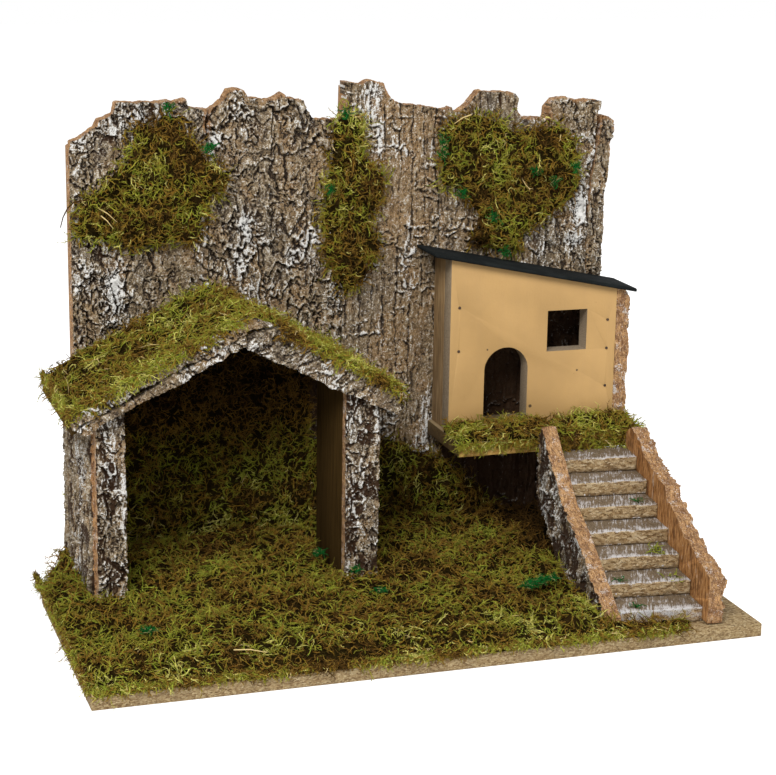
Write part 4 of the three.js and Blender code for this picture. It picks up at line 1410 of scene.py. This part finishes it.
def moss_bed(name, node, surface, seed, dim_at, sink=2.0, lump=5.0, edge=5.0, thin=0.6):
    """The felted mass that the fronds grow from."""
    step = sizes().moss_grid / MM
    loops = [ragged(loop, 2.0, lambda a, b: np.full(np.shape(a), 2.6), seed) for loop in surface.wide_loops]
    a, b, squares = gridded(loops, step)
    used, rim = rim_of(squares)
    moved_a, moved_b = snapped(loops, a, b, rim, step)
    flat_a, flat_b = moved_a[used], moved_b[used]
    gap, near_a, near_b = nearest_on(surface.loops, flat_a, flat_b)
    outside = ~inside(surface.loops, flat_a, flat_b) | (gap < 0.6)
    centre = np.concatenate(surface.loops).mean(axis=0)
    safe_a = np.where(outside, near_a + (centre[0] - near_a) * 0.012, flat_a)
    safe_b = np.where(outside, near_b + (centre[1] - near_b) * 0.012, flat_b)
    outer = surface.reach(safe_a, safe_b, True)
    inner = surface.reach(safe_a, safe_b, False)
    lumps = lump * (cloudy(flat_a / 15, flat_b / 15, seed + 1, 3) - 0.55)
    lumps += 0.75 * lump * (cloudy(flat_a / 5, flat_b / 5, seed + 2, 2) - 0.5)
    taper = thin + (1 - thin) * smooth(nearest_on(loops, flat_a, flat_b)[0] / edge)
    top = inner + (outer - sink - inner) * taper + lumps * taper
    top = np.maximum(top, inner + 0.8)
    index = np.full(used.shape, -1)
    index[used] = np.arange(used.sum())
    count = used.sum()
    points = np.concatenate([np.stack([flat_a, flat_b, level], axis=1) for level in (top, inner)])
    edges = rim_edges(squares, index)
    sides = np.stack([edges[:, 1], edges[:, 0], edges[:, 0] + count, edges[:, 1] + count], axis=1)
    front = front_faces(squares, index)
    faces = [front, front[:, ::-1] + count, sides]
    dim = np.tile(dim_at(flat_a, flat_b), 2)
    verts, skins = placed(points, surface.toward), [material("moss_bed")]
    settle(mesh_object(name, verts, faces, skins, marks={"dim": dim}), "moss", node)
    tree = BVHTree.FromPolygons([tuple(p) for p in points[:count]], front.tolist())
    return tree, loops


def undimmed(a, b):
    return 0 * a


def bed_roots(loops, seed, rng, density):
    """Roots scattered over a moss bed, and the way that each frond lies, as an angle."""
    every = np.concatenate(loops)
    low, high = every.min(axis=0), every.max(axis=0)
    wanted = sizes().strands_per_square * density
    count = int(wanted * (high[0] - low[0]) * (high[1] - low[1]) / 100)
    a, b = rng.uniform(low[0], high[0], count), rng.uniform(low[1], high[1], count)
    keep = inside(loops, a, b)
    a, b = a[keep], b[keep]
    turn = 4 * math.pi * cloudy(a / 14, b / 14, seed + 14, 2) + 0.7 * rng.normal(size=len(a))
    return np.stack([a, b, turn])


def moss_piece(node, toward, seed, density=1.0, green=0.0, parts=1, lift=0.4, curl=0.8, size=1.0, drop=0.0,
               strays=0.0, dim_at=undimmed, **bed):
    """A moss bed with fronds over it, more fronds that hang over its rim, and a few strays round it."""
    surface = Surface(node, toward, drop=drop)
    tree, loops = moss_bed(node + "_bed", node, surface, seed, dim_at, **bed)
    rng = np.random.default_rng(seed)
    roots = [bed_roots(loops, seed, rng, density), rim_roots(loops, rng, 0.9 * density, -strays)]
    a, b, turn = np.concatenate(roots, axis=1)
    hits = [tree.ray_cast(Vector((x, y, 500)), DOWN) for x, y in zip(a, b)]
    good = np.array([strays > 0 or hit[0] is not None for hit in hits])
    ground = (Vector((0, 0, surface.low + 0.8)), UP)
    hits = [hit if hit[0] is not None else ground for hit, kept in zip(hits, good) if kept]
    up = np.array([hit[0].z for hit in hits])
    normals = np.array([tuple(hit[1]) for hit in hits])
    a, b, turn = a[good], b[good], turn[good]
    # dim_at lowers the fronds' tones: painted shade
    tones = strand_tones(a, b, seed, rng, green) * (1 - dim_at(a, b))
    grow_fronds(node, toward, a, b, up, normals, turn, tones, rng, parts, lift, curl, size)


def floor_shade(a, b):
    """Near 1 for moss in the dark below the stair and the platform, and a little away from the front."""
    below = 0.93 * smooth((a - 112) / 40) * smooth((b + 30) / 50)
    return np.maximum(below, 0.16 * smooth((b + 116) / 40))


def back_shade(a, b):
    """Near 1 for moss high up in the dark at the stable's back."""
    return 0.82 * smooth((b - 60) / 80)


def rim_roots(loops, rng, per_millimetre, nearest):
    """Roots along the outlines, from a distance inside them, and the way out from each, as an angle."""
    found = []
    for loop in loops:
        ahead = np.roll(loop, -1, axis=0) - loop
        length = np.hypot(ahead[:, 0], ahead[:, 1])
        count = int(length.sum() * per_millimetre)
        pick = rng.choice(len(loop), count, p=length / length.sum())
        way = ahead[pick] / length[pick][:, None]
        spot = loop[pick] + ahead[pick] * rng.uniform(0, 1, (count, 1))
        spot -= np.stack([way[:, 1], -way[:, 0]], axis=1) * rng.uniform(nearest, 4.0, (count, 1))
        turn = np.arctan2(-way[:, 0], way[:, 1]) + 0.7 * rng.normal(size=count)
        found.append(np.column_stack([spot, turn]))
    return np.concatenate(found).T


def grow_fronds(node, toward, a, b, up, normals, turn, tones, rng, parts, lift, curl, size):
    """Fronds rooted at places on a surface; turn is the way that each one lies."""
    basis = np.array([*axes_for(toward), toward])
    headings = np.stack([np.cos(turn), np.sin(turn), np.zeros(len(a))], axis=1)
    headings -= normals * (headings * normals).sum(axis=1, keepdims=True)
    roots = np.stack([a, b, up - 0.5], axis=1) @ basis
    normals, headings = unit(normals @ basis), unit(headings @ basis)
    for i, share in enumerate(np.array_split(np.argsort(roots[:, 0]), parts)):
        name = node + "_fronds" + (f"_{i + 1}" if parts > 1 else "")
        laid = (grown[share] for grown in (roots, normals, headings, tones))
        frond_piece(name, *laid, rng, size, lift, curl)


def strand_tones(a, b, seed, rng, green=0.0):
    """A tone for each frond, so that colours lie in tufts, with a few straws and dyed bits."""
    patch = cloudy(a / 24, b / 24, seed + 11, 3)
    clump = cloudy(a / 7, b / 7, seed + 12, 2)
    tone = -0.20 + 0.72 * patch + 0.46 * clump + 0.22 * rng.uniform(-1, 1, len(a)) + green
    tone = np.clip(tone, 0.05, 0.86)
    luck = rng.uniform(0, 1, len(a))
    tone = np.where(luck < 0.13, 0.10 + 0.3 * tone, tone)
    tone = np.where((luck > 0.95) & (tone > 0.3), 0.865, tone)
    return np.where(luck > 0.992, 0.92, tone)


def tuft(name, toward, places, seed, tone, count=24, spread=3.5, size=0.7, spread_of_tone=0.01):
    """Short fronds bunched round each of some places in millimetres, all near one tone."""
    rng = np.random.default_rng(seed)
    normal = np.array(toward)
    off = 0.5 * spread * rng.normal(size=(count * len(places), 3))
    roots = np.repeat(np.array(places, float), count, axis=0) + off - 0.7 * (off @ normal)[:, None] * normal
    heading = rng.normal(size=roots.shape)
    heading = unit(heading - (heading @ normal)[:, None] * normal)
    tones = np.clip(tone + spread_of_tone * rng.normal(size=len(roots)), tone - 0.02, 1)
    normals = np.broadcast_to(normal, roots.shape)
    return frond_piece(name, roots, normals, heading, tones, rng, size, curl=0.9)


def fringe(name, start, end, fall, seed, toward=FRONT, per_millimetre=6.0, out=2.5, back=0.0, green=0.0,
           size=0.8):
    """Moss along an edge from a start to an end in millimetres. fall gives how far it hangs in front at
    a share of the way, and back how far it reaches behind the edge."""
    rng = np.random.default_rng(seed)
    start, end = np.array(start, float), np.array(end, float)
    count = int(per_millimetre * np.linalg.norm(end - start))
    share = rng.uniform(0, 1, count)
    deep = fall(share) * rng.uniform(-0.3, 1, count) * (0.4 + 1.0 * cloudy(share * 18, 0 * share, seed, 2))
    ahead = 0.5 + out * rng.uniform(0, 1, count) * smooth(fall(share) / 6)
    behind = (rng.uniform(0, 1, count) < back / (back + 4.0)) * back * rng.uniform(0, 1, count)
    over = behind > 0
    roots = start + share[:, None] * (end - start)
    roots += np.array(UP) * np.where(over, 0.4, -deep)[:, None]
    roots += np.array(toward) * np.where(over, -behind, ahead)[:, None]
    normals = np.where(over[:, None], np.array(UP), np.array(toward))
    heading = 0.8 * rng.normal(size=(count, 1)) * unit(end - start)
    heading += 0.8 * over[:, None] * rng.normal(size=(count, 1)) * np.array(toward)
    heading -= np.array(UP) * np.where(over, 0.0, rng.uniform(0.0, 1.2, count))[:, None]
    tones = strand_tones(roots[:, 0], roots[:, 2] + roots[:, 1], seed, rng, green)
    return frond_piece(name, roots, normals, unit(heading), tones, rng, size)


def make_fringes():
    low, high = (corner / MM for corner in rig.box("platform_board"))

    def over_board(share):
        x = low.x + share * (high.x - low.x)
        return 1 + 13 * smooth((x - low.x - 45) / 35) + 10 * smooth((x - high.x + 22) / 14)

    edge = [(x, low.y, high.z) for x in (low.x, high.x)]
    fringe("platform_fringe", *edge, over_board, 5100, per_millimetre=9, green=0.08)
    low, high = (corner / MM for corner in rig.box("base_board"))
    top, inset = high.z + 6, 1.5
    short = {"per_millimetre": 9, "out": 3.0, "size": 0.5}
    front = [(x, low.y + inset, top) for x in (low.x + 1, 188)]
    fringe("base_fringe_front", *front, lambda share: 3.5 + 0 * share, 5110, green=0.05, **short)
    side = [(low.x + inset, y, top) for y in (low.y + 1, high.y - 60)]
    fringe("base_fringe_left", *side, lambda share: 4 + 0 * share, 5120, LEFT, **short)
    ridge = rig.box("roof_board_left")[1].x / MM
    slope = math.tan(ROOF_PITCH)
    low, high = (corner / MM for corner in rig.box("roof_fascia_left_upper"))
    ends = (low.x, low.y, high.z - (ridge - low.x) * slope), (ridge, low.y, high.z)
    hanging = {"per_millimetre": 11, "back": 9.0}
    fringe("roof_fringe_left", *ends, lambda share: 3.0 - 2.4 * share, 5150, **hanging)
    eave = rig.box("roof_moss")[0] / MM
    ends = (eave.x, low.y, ends[0][2]), (eave.x, -eave.y + 120, ends[0][2])
    along_eave = {"per_millimetre": 9, "out": 1.0, "size": 0.6}
    fringe("roof_fringe_eave", *ends, lambda share: 7 + 0 * share, 5170, LEFT, **along_eave)
    tip = high.x
    low, high = (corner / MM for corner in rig.box("roof_fascia_right"))
    ends = (high.x, low.y, low.z + 20), (tip, low.y, high.z - 1)
    fringe("roof_fringe_right", *ends, lambda share: 5.0 - 1.0 * share, 5160, **hanging)


def over_tread(node, across, over):
    """A place over a stair tread: a share of the way across it, near its front edge. Millimetres."""
    low, high = (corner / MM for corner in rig.box(node))
    deep = (1 - across) * 0.18 * (high.y - low.y)
    return low.x + across * (high.x - low.x), low.y + 6 + deep, high.z + over - 1


def stick(name, places, width, tone):
    """A thin bent twig or straw through places in millimetres, thinner at its tip."""
    spots = np.array(places, float)
    ways = unit(np.gradient(spots, axis=0))
    side = unit(np.cross(ways, (0.1, 1.0, 0.2)))
    over = np.cross(ways, side)
    taper = np.linspace(0.5, 0.25, len(spots))[:, None] * width
    turns = np.arange(STICK_SIDES) * 2 * math.pi / STICK_SIDES
    points = np.stack([spots + taper * (math.cos(t) * side + math.sin(t) * over) for t in turns], axis=1)
    near = np.arange(STICK_SIDES)
    after = (near + 1) % STICK_SIDES
    ring = np.stack([near, after, after + STICK_SIDES, near + STICK_SIDES], axis=1)
    last = STICK_SIDES * (len(spots) - 1)
    rings = np.concatenate([ring + start for start in range(0, last, STICK_SIDES)])
    faces = [rings, near[None, ::-1], (near + last)[None]]
    corners = sum(face.size for face in faces)
    uv = np.stack([np.full(corners, 0.02 + 0.96 * tone), np.full(corners, 0.6)], axis=1)
    piece = mesh_object(name, points.reshape(-1, 3) * MM, faces, [material("moss_strand")], uv=uv)
    return settle(piece, "moss")


# Boards


def eased_copy(node, width, slot, finish):
    """A node's own shape with its edges eased, in millimetres."""
    work = node_mesh(node)
    bmesh.ops.dissolve_limit(work, angle_limit=math.radians(1), verts=work.verts, edges=work.edges)
    edges = [e for e in work.edges if len(e.link_faces) == 2 and e.calc_face_angle() > math.radians(25)]
    bmesh.ops.bevel(
        work, geom=edges, offset=width, segments=2, affect="EDGES", profile=0.5, clamp_overlap=True
    )
    work.transform(Matrix.Scale(MM, 4))
    name = node + "_made"
    mesh = bpy.data.meshes.new(name)
    work.to_mesh(mesh)
    work.free()
    mesh.polygons.foreach_set("use_smooth", [face.area < LARGE_FACE for face in mesh.polygons])
    mesh.set_sharp_from_angle(angle=math.radians(35))
    mesh.materials.append(material(finish))
    return settle(linked(name, mesh), slot, node)


def box_grid(low, high, step):
    """Points and faces all over a box, welded along its edges."""
    axes = [np.linspace(low[i], high[i], max(2, int((high[i] - low[i]) / step) + 1)) for i in range(3)]
    points, faces, start = [], [], 0
    for axis in range(3):
        first, second = (axis + 1) % 3, (axis + 2) % 3
        for end in (0, 1):
            grid = np.meshgrid(axes[first], axes[second], indexing="ij")
            spots = np.zeros(grid[0].shape + (3,))
            spots[..., first], spots[..., second] = grid
            spots[..., axis] = (low, high)[end][axis]
            index = start + np.arange(grid[0].size).reshape(grid[0].shape)
            corners = [index[:-1, :-1], index[1:, :-1], index[1:, 1:], index[:-1, 1:]]
            quads = np.stack([corner.ravel() for corner in corners], axis=1)
            faces.append(quads if end else quads[:, ::-1])
            points.append(spots.reshape(-1, 3))
            start += grid[0].size
    points, faces = np.concatenate(points), np.concatenate(faces)
    _, kept, same = np.unique(np.round(points, 3), axis=0, return_index=True, return_inverse=True)
    return points[kept], same.ravel()[faces]


def worn_block(low, high, step, ease, seed):
    """A box with points all over it, eased edges, and a chipped front and underside."""
    points, faces = box_grid(low, high, step)
    on_low, on_high = np.abs(points - low) < 1e-6, np.abs(points - high) < 1e-6
    out = on_high.astype(float) - on_low.astype(float)
    sides = np.abs(out).sum(axis=1)
    x, y, z = points.T
    share = (z - low[2]) / (high[2] - low[2])
    chips = cloudy(x / 3.2, z / 2.4 + y / 5, seed, 2) * cloudy(x / 9, z / 9, seed + 1, 2)
    worn = np.where(on_low[:, 1], 2.4 * chips * (1.1 - share), 0.5 * chips)
    worn = np.where(on_high[:, 2], 0.4 * cloudy(x / 2.5, y / 2.5, seed + 2, 2), worn)
    moved = points - unit(out) * (worn + ease * (sides > 1) * 0.7)[:, None]
    marks = {"low": smooth((0.30 - share) / 0.3), "edge": smooth((low[1] + 10 - y) / 10)}
    return moved, faces, marks


def tread_piece(node, seed, white):
    work = node_mesh(node, STAIR_TURN)
    places = np.array([tuple(v.co) for v in work.verts])
    work.free()
    low, high = places.min(axis=0), places.max(axis=0)
    low[2] -= TREAD_SEAT / MM
    points, faces, marks = worn_block(low, high, 1.0, 0.5, seed)
    marks["white"] = white + 0.3 * cloudy(points[:, 0] / 6, points[:, 2] / 3, seed + 5, 2)
    marks["white"] += 0.22 * smooth((points[:, 2] - high[2] + 2.5) / 2)
    corners = points[faces]
    normals = np.cross(corners[:, 1] - corners[:, 0], corners[:, 2] - corners[:, 0])
    flat = (unit(normals)[:, 2] > 0.6).astype(int)
    skins = [material("tread_front"), material("tread_top")]
    verts, sharp = turned(points, STAIR_TURN) * MM, math.radians(50)
    piece = mesh_object(node + "_worn", verts, [faces], skins, flat, marks, sharp=sharp)
    return settle(piece, "tread", node)


# Operators


class CRIB_OT_boards(bpy.types.Operator):
    """Makes the base, the platform, the backing panel and the boards inside the stable"""

    bl_idname = "crib.boards"
    bl_label = "Boards"

    def execute(self, context):
        edge = sizes().board_edge / MM
        for node, slot, finish in (
            ("base_board", "chipboard", "chipboard"),
            ("platform_board", "chipboard", "platform_edge"),
            ("back_panel", "panel", "panel"),
            ("stable_right_wall", "bare_wood", "dark_wood"),
            ("roof_board_left", "bare_wood", "dark_wood"),
            ("roof_board_right", "bare_wood", "dark_wood"),
        ):
            eased_copy(node, edge, slot, finish)
        return {"FINISHED"}


class CRIB_OT_wall_bark(bpy.types.Operator):
    """Makes the upright bark slabs of the back wall"""

    bl_idname = "crib.wall_bark"
    bl_label = "Wall bark"

    def execute(self, context):
        shape = {"rough": 0.25, "top_rough": 1.8, "rows": 5, "side_rough": 1.2}
        shades = {"dark_at": shaded, "swept_at": (WALL_WHITE, WALL_WARM, WALL_DARK)}
        for i, (brushing, scale, curled, flaky, seams) in enumerate(WALL_SLABS, start=1):
            bark_piece(
                f"back_bark_{i}", FRONT, 100 * i, brushing=brushing, scale=scale, curled=curled,
                flaky=flaky, seams=seams, **shape, **shades
            )
        return {"FINISHED"}


class CRIB_OT_stable_bark(bpy.types.Operator):
    """Makes the bark of the stable's walls, posts and fascias"""

    bl_idname = "crib.stable_bark"
    bl_label = "Stable bark"

    def execute(self, context):
        thin = {"rows": 4, "side_rough": 0.8}
        smoother = thin | {"rough": 0.35, "deep": 1.1, "dark_at": dusty}
        darker = smoother | {"dark_at": sooty}
        bark_piece("stable_left_wall", LEFT, 1100, brushing=0.28, rim_share=0.25, **darker)
        bark_piece("stable_left_post", FRONT, 1200, brushing=0.50, scale=0.85, **smoother)
        warm = ((), POST_WARM, ())
        bark_piece("stable_right_post", FRONT, 1300, brushing=0.54, scale=0.85, swept_at=warm, **darker)
        for node, seed, lean in (
            ("roof_fascia_left_lower", 1400, 1),
            ("roof_fascia_left_upper", 1500, 1),
            ("roof_fascia_right", 1600, -1),
        ):
            grain = lean * (math.pi / 2 - ROOF_PITCH)
            bark_piece(
                node, FRONT, seed, lean=grain, rough=1.6, deep=0.9, brushing=0.52, scale=0.8,
                sides="bark", **thin
            )
        return {"FINISHED"}


class CRIB_OT_moss(bpy.types.Operator):
    """Makes the moss on the base, the roof, the platform and the walls"""

    bl_idname = "crib.moss"
    bl_label = "Moss"

    def execute(self, context):
        lying = {"green": 0.06, "sink": 2.5, "thin": 0.7}
        moss_piece("floor_moss", UP, 2100, parts=6, lump=7.0, dim_at=floor_shade, **lying)
        moss_piece("roof_moss", UP, 2200, parts=2, lump=5.0, **lying)
        edge = {"density": 1.5, "lift": 0.6, "size": 0.85, "green": 0.08, "sink": 3.0, "thin": 0.7}
        moss_piece("platform_moss", UP, 2300, lump=4.0, **edge)
        wall = {"density": 1.35, "lift": 0.5, "curl": 0.9, "size": 0.95, "sink": 1.0}
        wall |= {"lump": 7.0, "strays": 4.0}
        moss_piece("wall_moss_left", FRONT, 2400, **wall)
        moss_piece("wall_moss_middle", FRONT, 2500, **wall)
        moss_piece("wall_moss_right", FRONT, 2600, **wall)
        moss_piece("stable_back_moss", FRONT, 2700, parts=2, green=0.14, drop=9.0, dim_at=back_shade)
        moss_piece("wall_foot_moss", FRONT, 2800, drop=9.0, lump=6.0, strays=3.0)
        return {"FINISHED"}


class CRIB_OT_trimmings(bpy.types.Operator):
    """Adds fringes of moss, dyed and green tufts, straws and a twig"""

    bl_idname = "crib.trimmings"
    bl_label = "Trimmings"

    def execute(self, context):
        make_fringes()
        tuft("dyed_wall_tufts", FRONT, WALL_TUFTS, 5200, 0.985, count=36, spread=2.8, size=0.5)
        tuft("dyed_floor_tufts", UP, FLOOR_TUFTS, 5300, 0.985, count=80, spread=3.2, size=0.5)
        spots = ((1, 0.22), (2, 0.14), (5, 0.75))
        stair = [over_tread(f"stair_tread_{i}", across, 2) for i, across in spots]
        tuft("dyed_stair_tufts", UP, stair, 5400, 0.985, count=9, spread=3.0)
        green = [over_tread("stair_tread_3", 0.72, 3), over_tread("stair_tread_2", 0.78, 0), (151, 88, 112)]
        tuft("green_tufts", UP, green, 5500, 0.72, count=26, spread=7.0, spread_of_tone=0.08)
        stick("twig", TWIG, 1.5, 0.03)
        for i, (start, end) in enumerate(STRAWS):
            middle = [(p + q) / 2 + bend for p, q, bend in zip(start, end, (0, 0, 1.2))]
            stick(f"straw_{i + 1}", [start, middle, end], 1.1, 0.92)
        return {"FINISHED"}


class CRIB_OT_house(bpy.types.Operator):
    """Makes the house's front, sides, roof and nails"""

    bl_idname = "crib.house"
    bl_label = "House"

    def execute(self, context):
        edge = sizes().board_edge / MM
        eased_copy("house_front", 0.35, "plaster", "house")
        eased_copy("house_left_wall", edge, "house_side", "house_side")
        eased_copy("house_right_wall", edge, "house_side", "house_side")
        eased_copy("house_roof", 1.0, "slate", "slate")
        side = {"rough": 1.2, "deep": 0.6, "rows": 6, "side_rough": 1.2}
        bark_piece("house_right_bark", RIGHT, 3100, brushing=0.6, **side)
        for node in NODES:
            if node.startswith("house_nail"):
                eased_copy(node, 0.12, "nail", "nail")
        return {"FINISHED"}


class CRIB_OT_stair(bpy.types.Operator):
    """Makes the treads and the stringers of the stair"""

    bl_idname = "crib.stair"
    bl_label = "Stair"

    def execute(self, context):
        for i in range(1, 8):
            tread_piece(f"stair_tread_{i}", 4000 + 10 * i, white=0.36 if i == 1 else 0.10)
        grain = math.pi / 2 - math.atan2(STEP_HIGH, STEP_DEEP)
        side = {"turn": STAIR_TURN, "deep": 0.6, "rows": 8, "side_rough": 1.6, "brushing": 0.7}
        # The left stringer is painted darker all over: painted shade on its side, which faces away from the light
        bark_piece("stair_stringer_left", LEFT, 4100, lean=-grain, rough=0.8, dark_at=sooty, **side)
        bark_piece("stair_stringer_right", RIGHT, 4200, lean=grain, rough=2.0, inner="heartwood", **side)
        return {"FINISHED"}


class CRIB_OT_stage(bpy.types.Operator):
    """Makes the floor, the lamps and the camera"""

    bl_idname = "crib.stage"
    bl_label = "Stage"

    def execute(self, context):
        make_floor()
        make_world()
        make_lamp("key", (-1.3, -1.9, 2.3), size=1.4, power=88.0)
        make_lamp("fill", (1.9, -1.6, 1.5), size=1.8, power=18.0)
        make_camera()
        context.scene.view_settings.view_transform = "Standard"
        return {"FINISHED"}


def seen_or_shown(tree):
    """1 for a ray from the camera, or one that a shiny or clear surface sends on."""
    path = put(tree, "ShaderNodeLightPath")
    either = arithmetic(tree, "MAXIMUM", path.outputs["Is Camera Ray"], path.outputs["Is Glossy Ray"])
    return arithmetic(tree, "MAXIMUM", either, path.outputs["Is Transmission Ray"])


def mixed_where_seen(tree, lighting, seen):
    """One shader for the light that it gives, and another for what the camera sees."""
    inputs = {0: seen_or_shown(tree), 1: lighting.outputs[0], 2: seen.outputs[0]}
    return put(tree, "ShaderNodeMixShader", inputs).outputs[0]


def make_floor():
    mesh = bpy.data.meshes.new("floor")
    half = 6.0
    corners = [(-half, -half, 0), (half, -half, 0), (half, half, 0), (-half, half, 0)]
    mesh.from_pydata(corners, [], [(0, 1, 2, 3)])
    floor = linked("floor", mesh)
    floor.location.z = -FLOOR_DROP
    made, tree, shader = new_material("floor", 0.9, 0.0)
    shader.inputs["Base Color"].default_value = rgba(colours().floor)
    glow = put(tree, "ShaderNodeEmission", {"Color": (1, 1, 1, 1), "Strength": 0.56})
    both = put(tree, "ShaderNodeAddShader", {0: shader.outputs[0], 1: glow.outputs[0]})
    mixed = mixed_where_seen(tree, shader, both)
    tree.links.new(mixed, tree.nodes["Material Output"].inputs[0])
    mesh.materials.append(made)
    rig.stage(floor)


def make_world():
    world = bpy.data.worlds.new("studio")
    bpy.context.scene.world = world
    world.use_nodes = True
    tree = world.node_tree
    tree.nodes.clear()
    soft = put(tree, "ShaderNodeBackground", {"Color": (1, 1, 1, 1), "Strength": 0.50})
    white = put(tree, "ShaderNodeBackground", {"Color": (1, 1, 1, 1), "Strength": 1.0})
    out = put(tree, "ShaderNodeOutputWorld")
    tree.links.new(mixed_where_seen(tree, soft, white), out.inputs[0])


def make_lamp(name, place, size, power):
    data = bpy.data.lights.new(name, "AREA")
    data.shape = "DISK"
    data.size = size
    data.energy = power
    lamp = linked(name, data)
    lamp.location = place
    aim = Vector((0.0, 0.0, 0.15)) - Vector(place)
    lamp.rotation_euler = aim.to_track_quat("-Z", "Y").to_euler()


def make_camera():
    data = bpy.data.cameras.new("camera")
    data.sensor_fit = "HORIZONTAL"
    data.sensor_width = 36.0
    data.lens = CAMERA_FOCAL_PIXELS / IMAGE_WIDE * data.sensor_width
    data.clip_end = 100.0
    camera = linked("camera", data)
    right = Vector(CAMERA_RIGHT).normalized()
    behind = right.cross(Vector(CAMERA_UP)).normalized()
    turn = Matrix((right, behind.cross(right), behind)).transposed()
    camera.matrix_world = Matrix.Translation(CAMERA_PLACE) @ turn.to_4x4()
    bpy.context.scene.camera = camera


class CRIB_PT_panel(bpy.types.Panel):
    """Lists the crib's pieces, sizes and colours"""

    bl_idname = "CRIB_PT_panel"
    bl_label = "Nativity stable"
    bl_space_type = "VIEW_3D"
    bl_region_type = "UI"
    bl_category = "Crib"

    def draw(self, context):
        for operator in OPERATORS:
            self.layout.operator(operator.bl_idname)
        for group in (context.scene.crib_sizes, context.scene.crib_colours):
            box = self.layout.box()
            for name in group.__annotations__:
                box.prop(group, name)


OPERATORS = (
    CRIB_OT_stage,
    CRIB_OT_boards,
    CRIB_OT_wall_bark,
    CRIB_OT_stable_bark,
    CRIB_OT_house,
    CRIB_OT_stair,
    CRIB_OT_moss,
    CRIB_OT_trimmings,
)
CLASSES = (CribSizes, CribColours, *OPERATORS, CRIB_PT_panel)


def register():
    for made in CLASSES:
        bpy.utils.register_class(made)
    bpy.types.Scene.crib_sizes = bpy.props.PointerProperty(type=CribSizes)
    bpy.types.Scene.crib_colours = bpy.props.PointerProperty(type=CribColours)


def unregister():
    del bpy.types.Scene.crib_colours
    del bpy.types.Scene.crib_sizes
    for made in reversed(CLASSES):
        bpy.utils.unregister_class(made)


def main():
    cad_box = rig.bounds()
    register()
    bpy.ops.crib.stage()
    bpy.ops.crib.boards()
    bpy.ops.crib.wall_bark()
    bpy.ops.crib.stable_bark()
    bpy.ops.crib.house()
    bpy.ops.crib.stair()
    bpy.ops.crib.moss()
    bpy.ops.crib.trimmings()
    bpy.context.view_layer.update()
    plain = [[[float(n) for n in corner] for corner in box] for box in (cad_box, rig.bounds())]
    with open("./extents.json", "w") as file:
        json.dump({"cad": plain[0], "visual": plain[1]}, file)


if __name__ == "__main__":
    main()
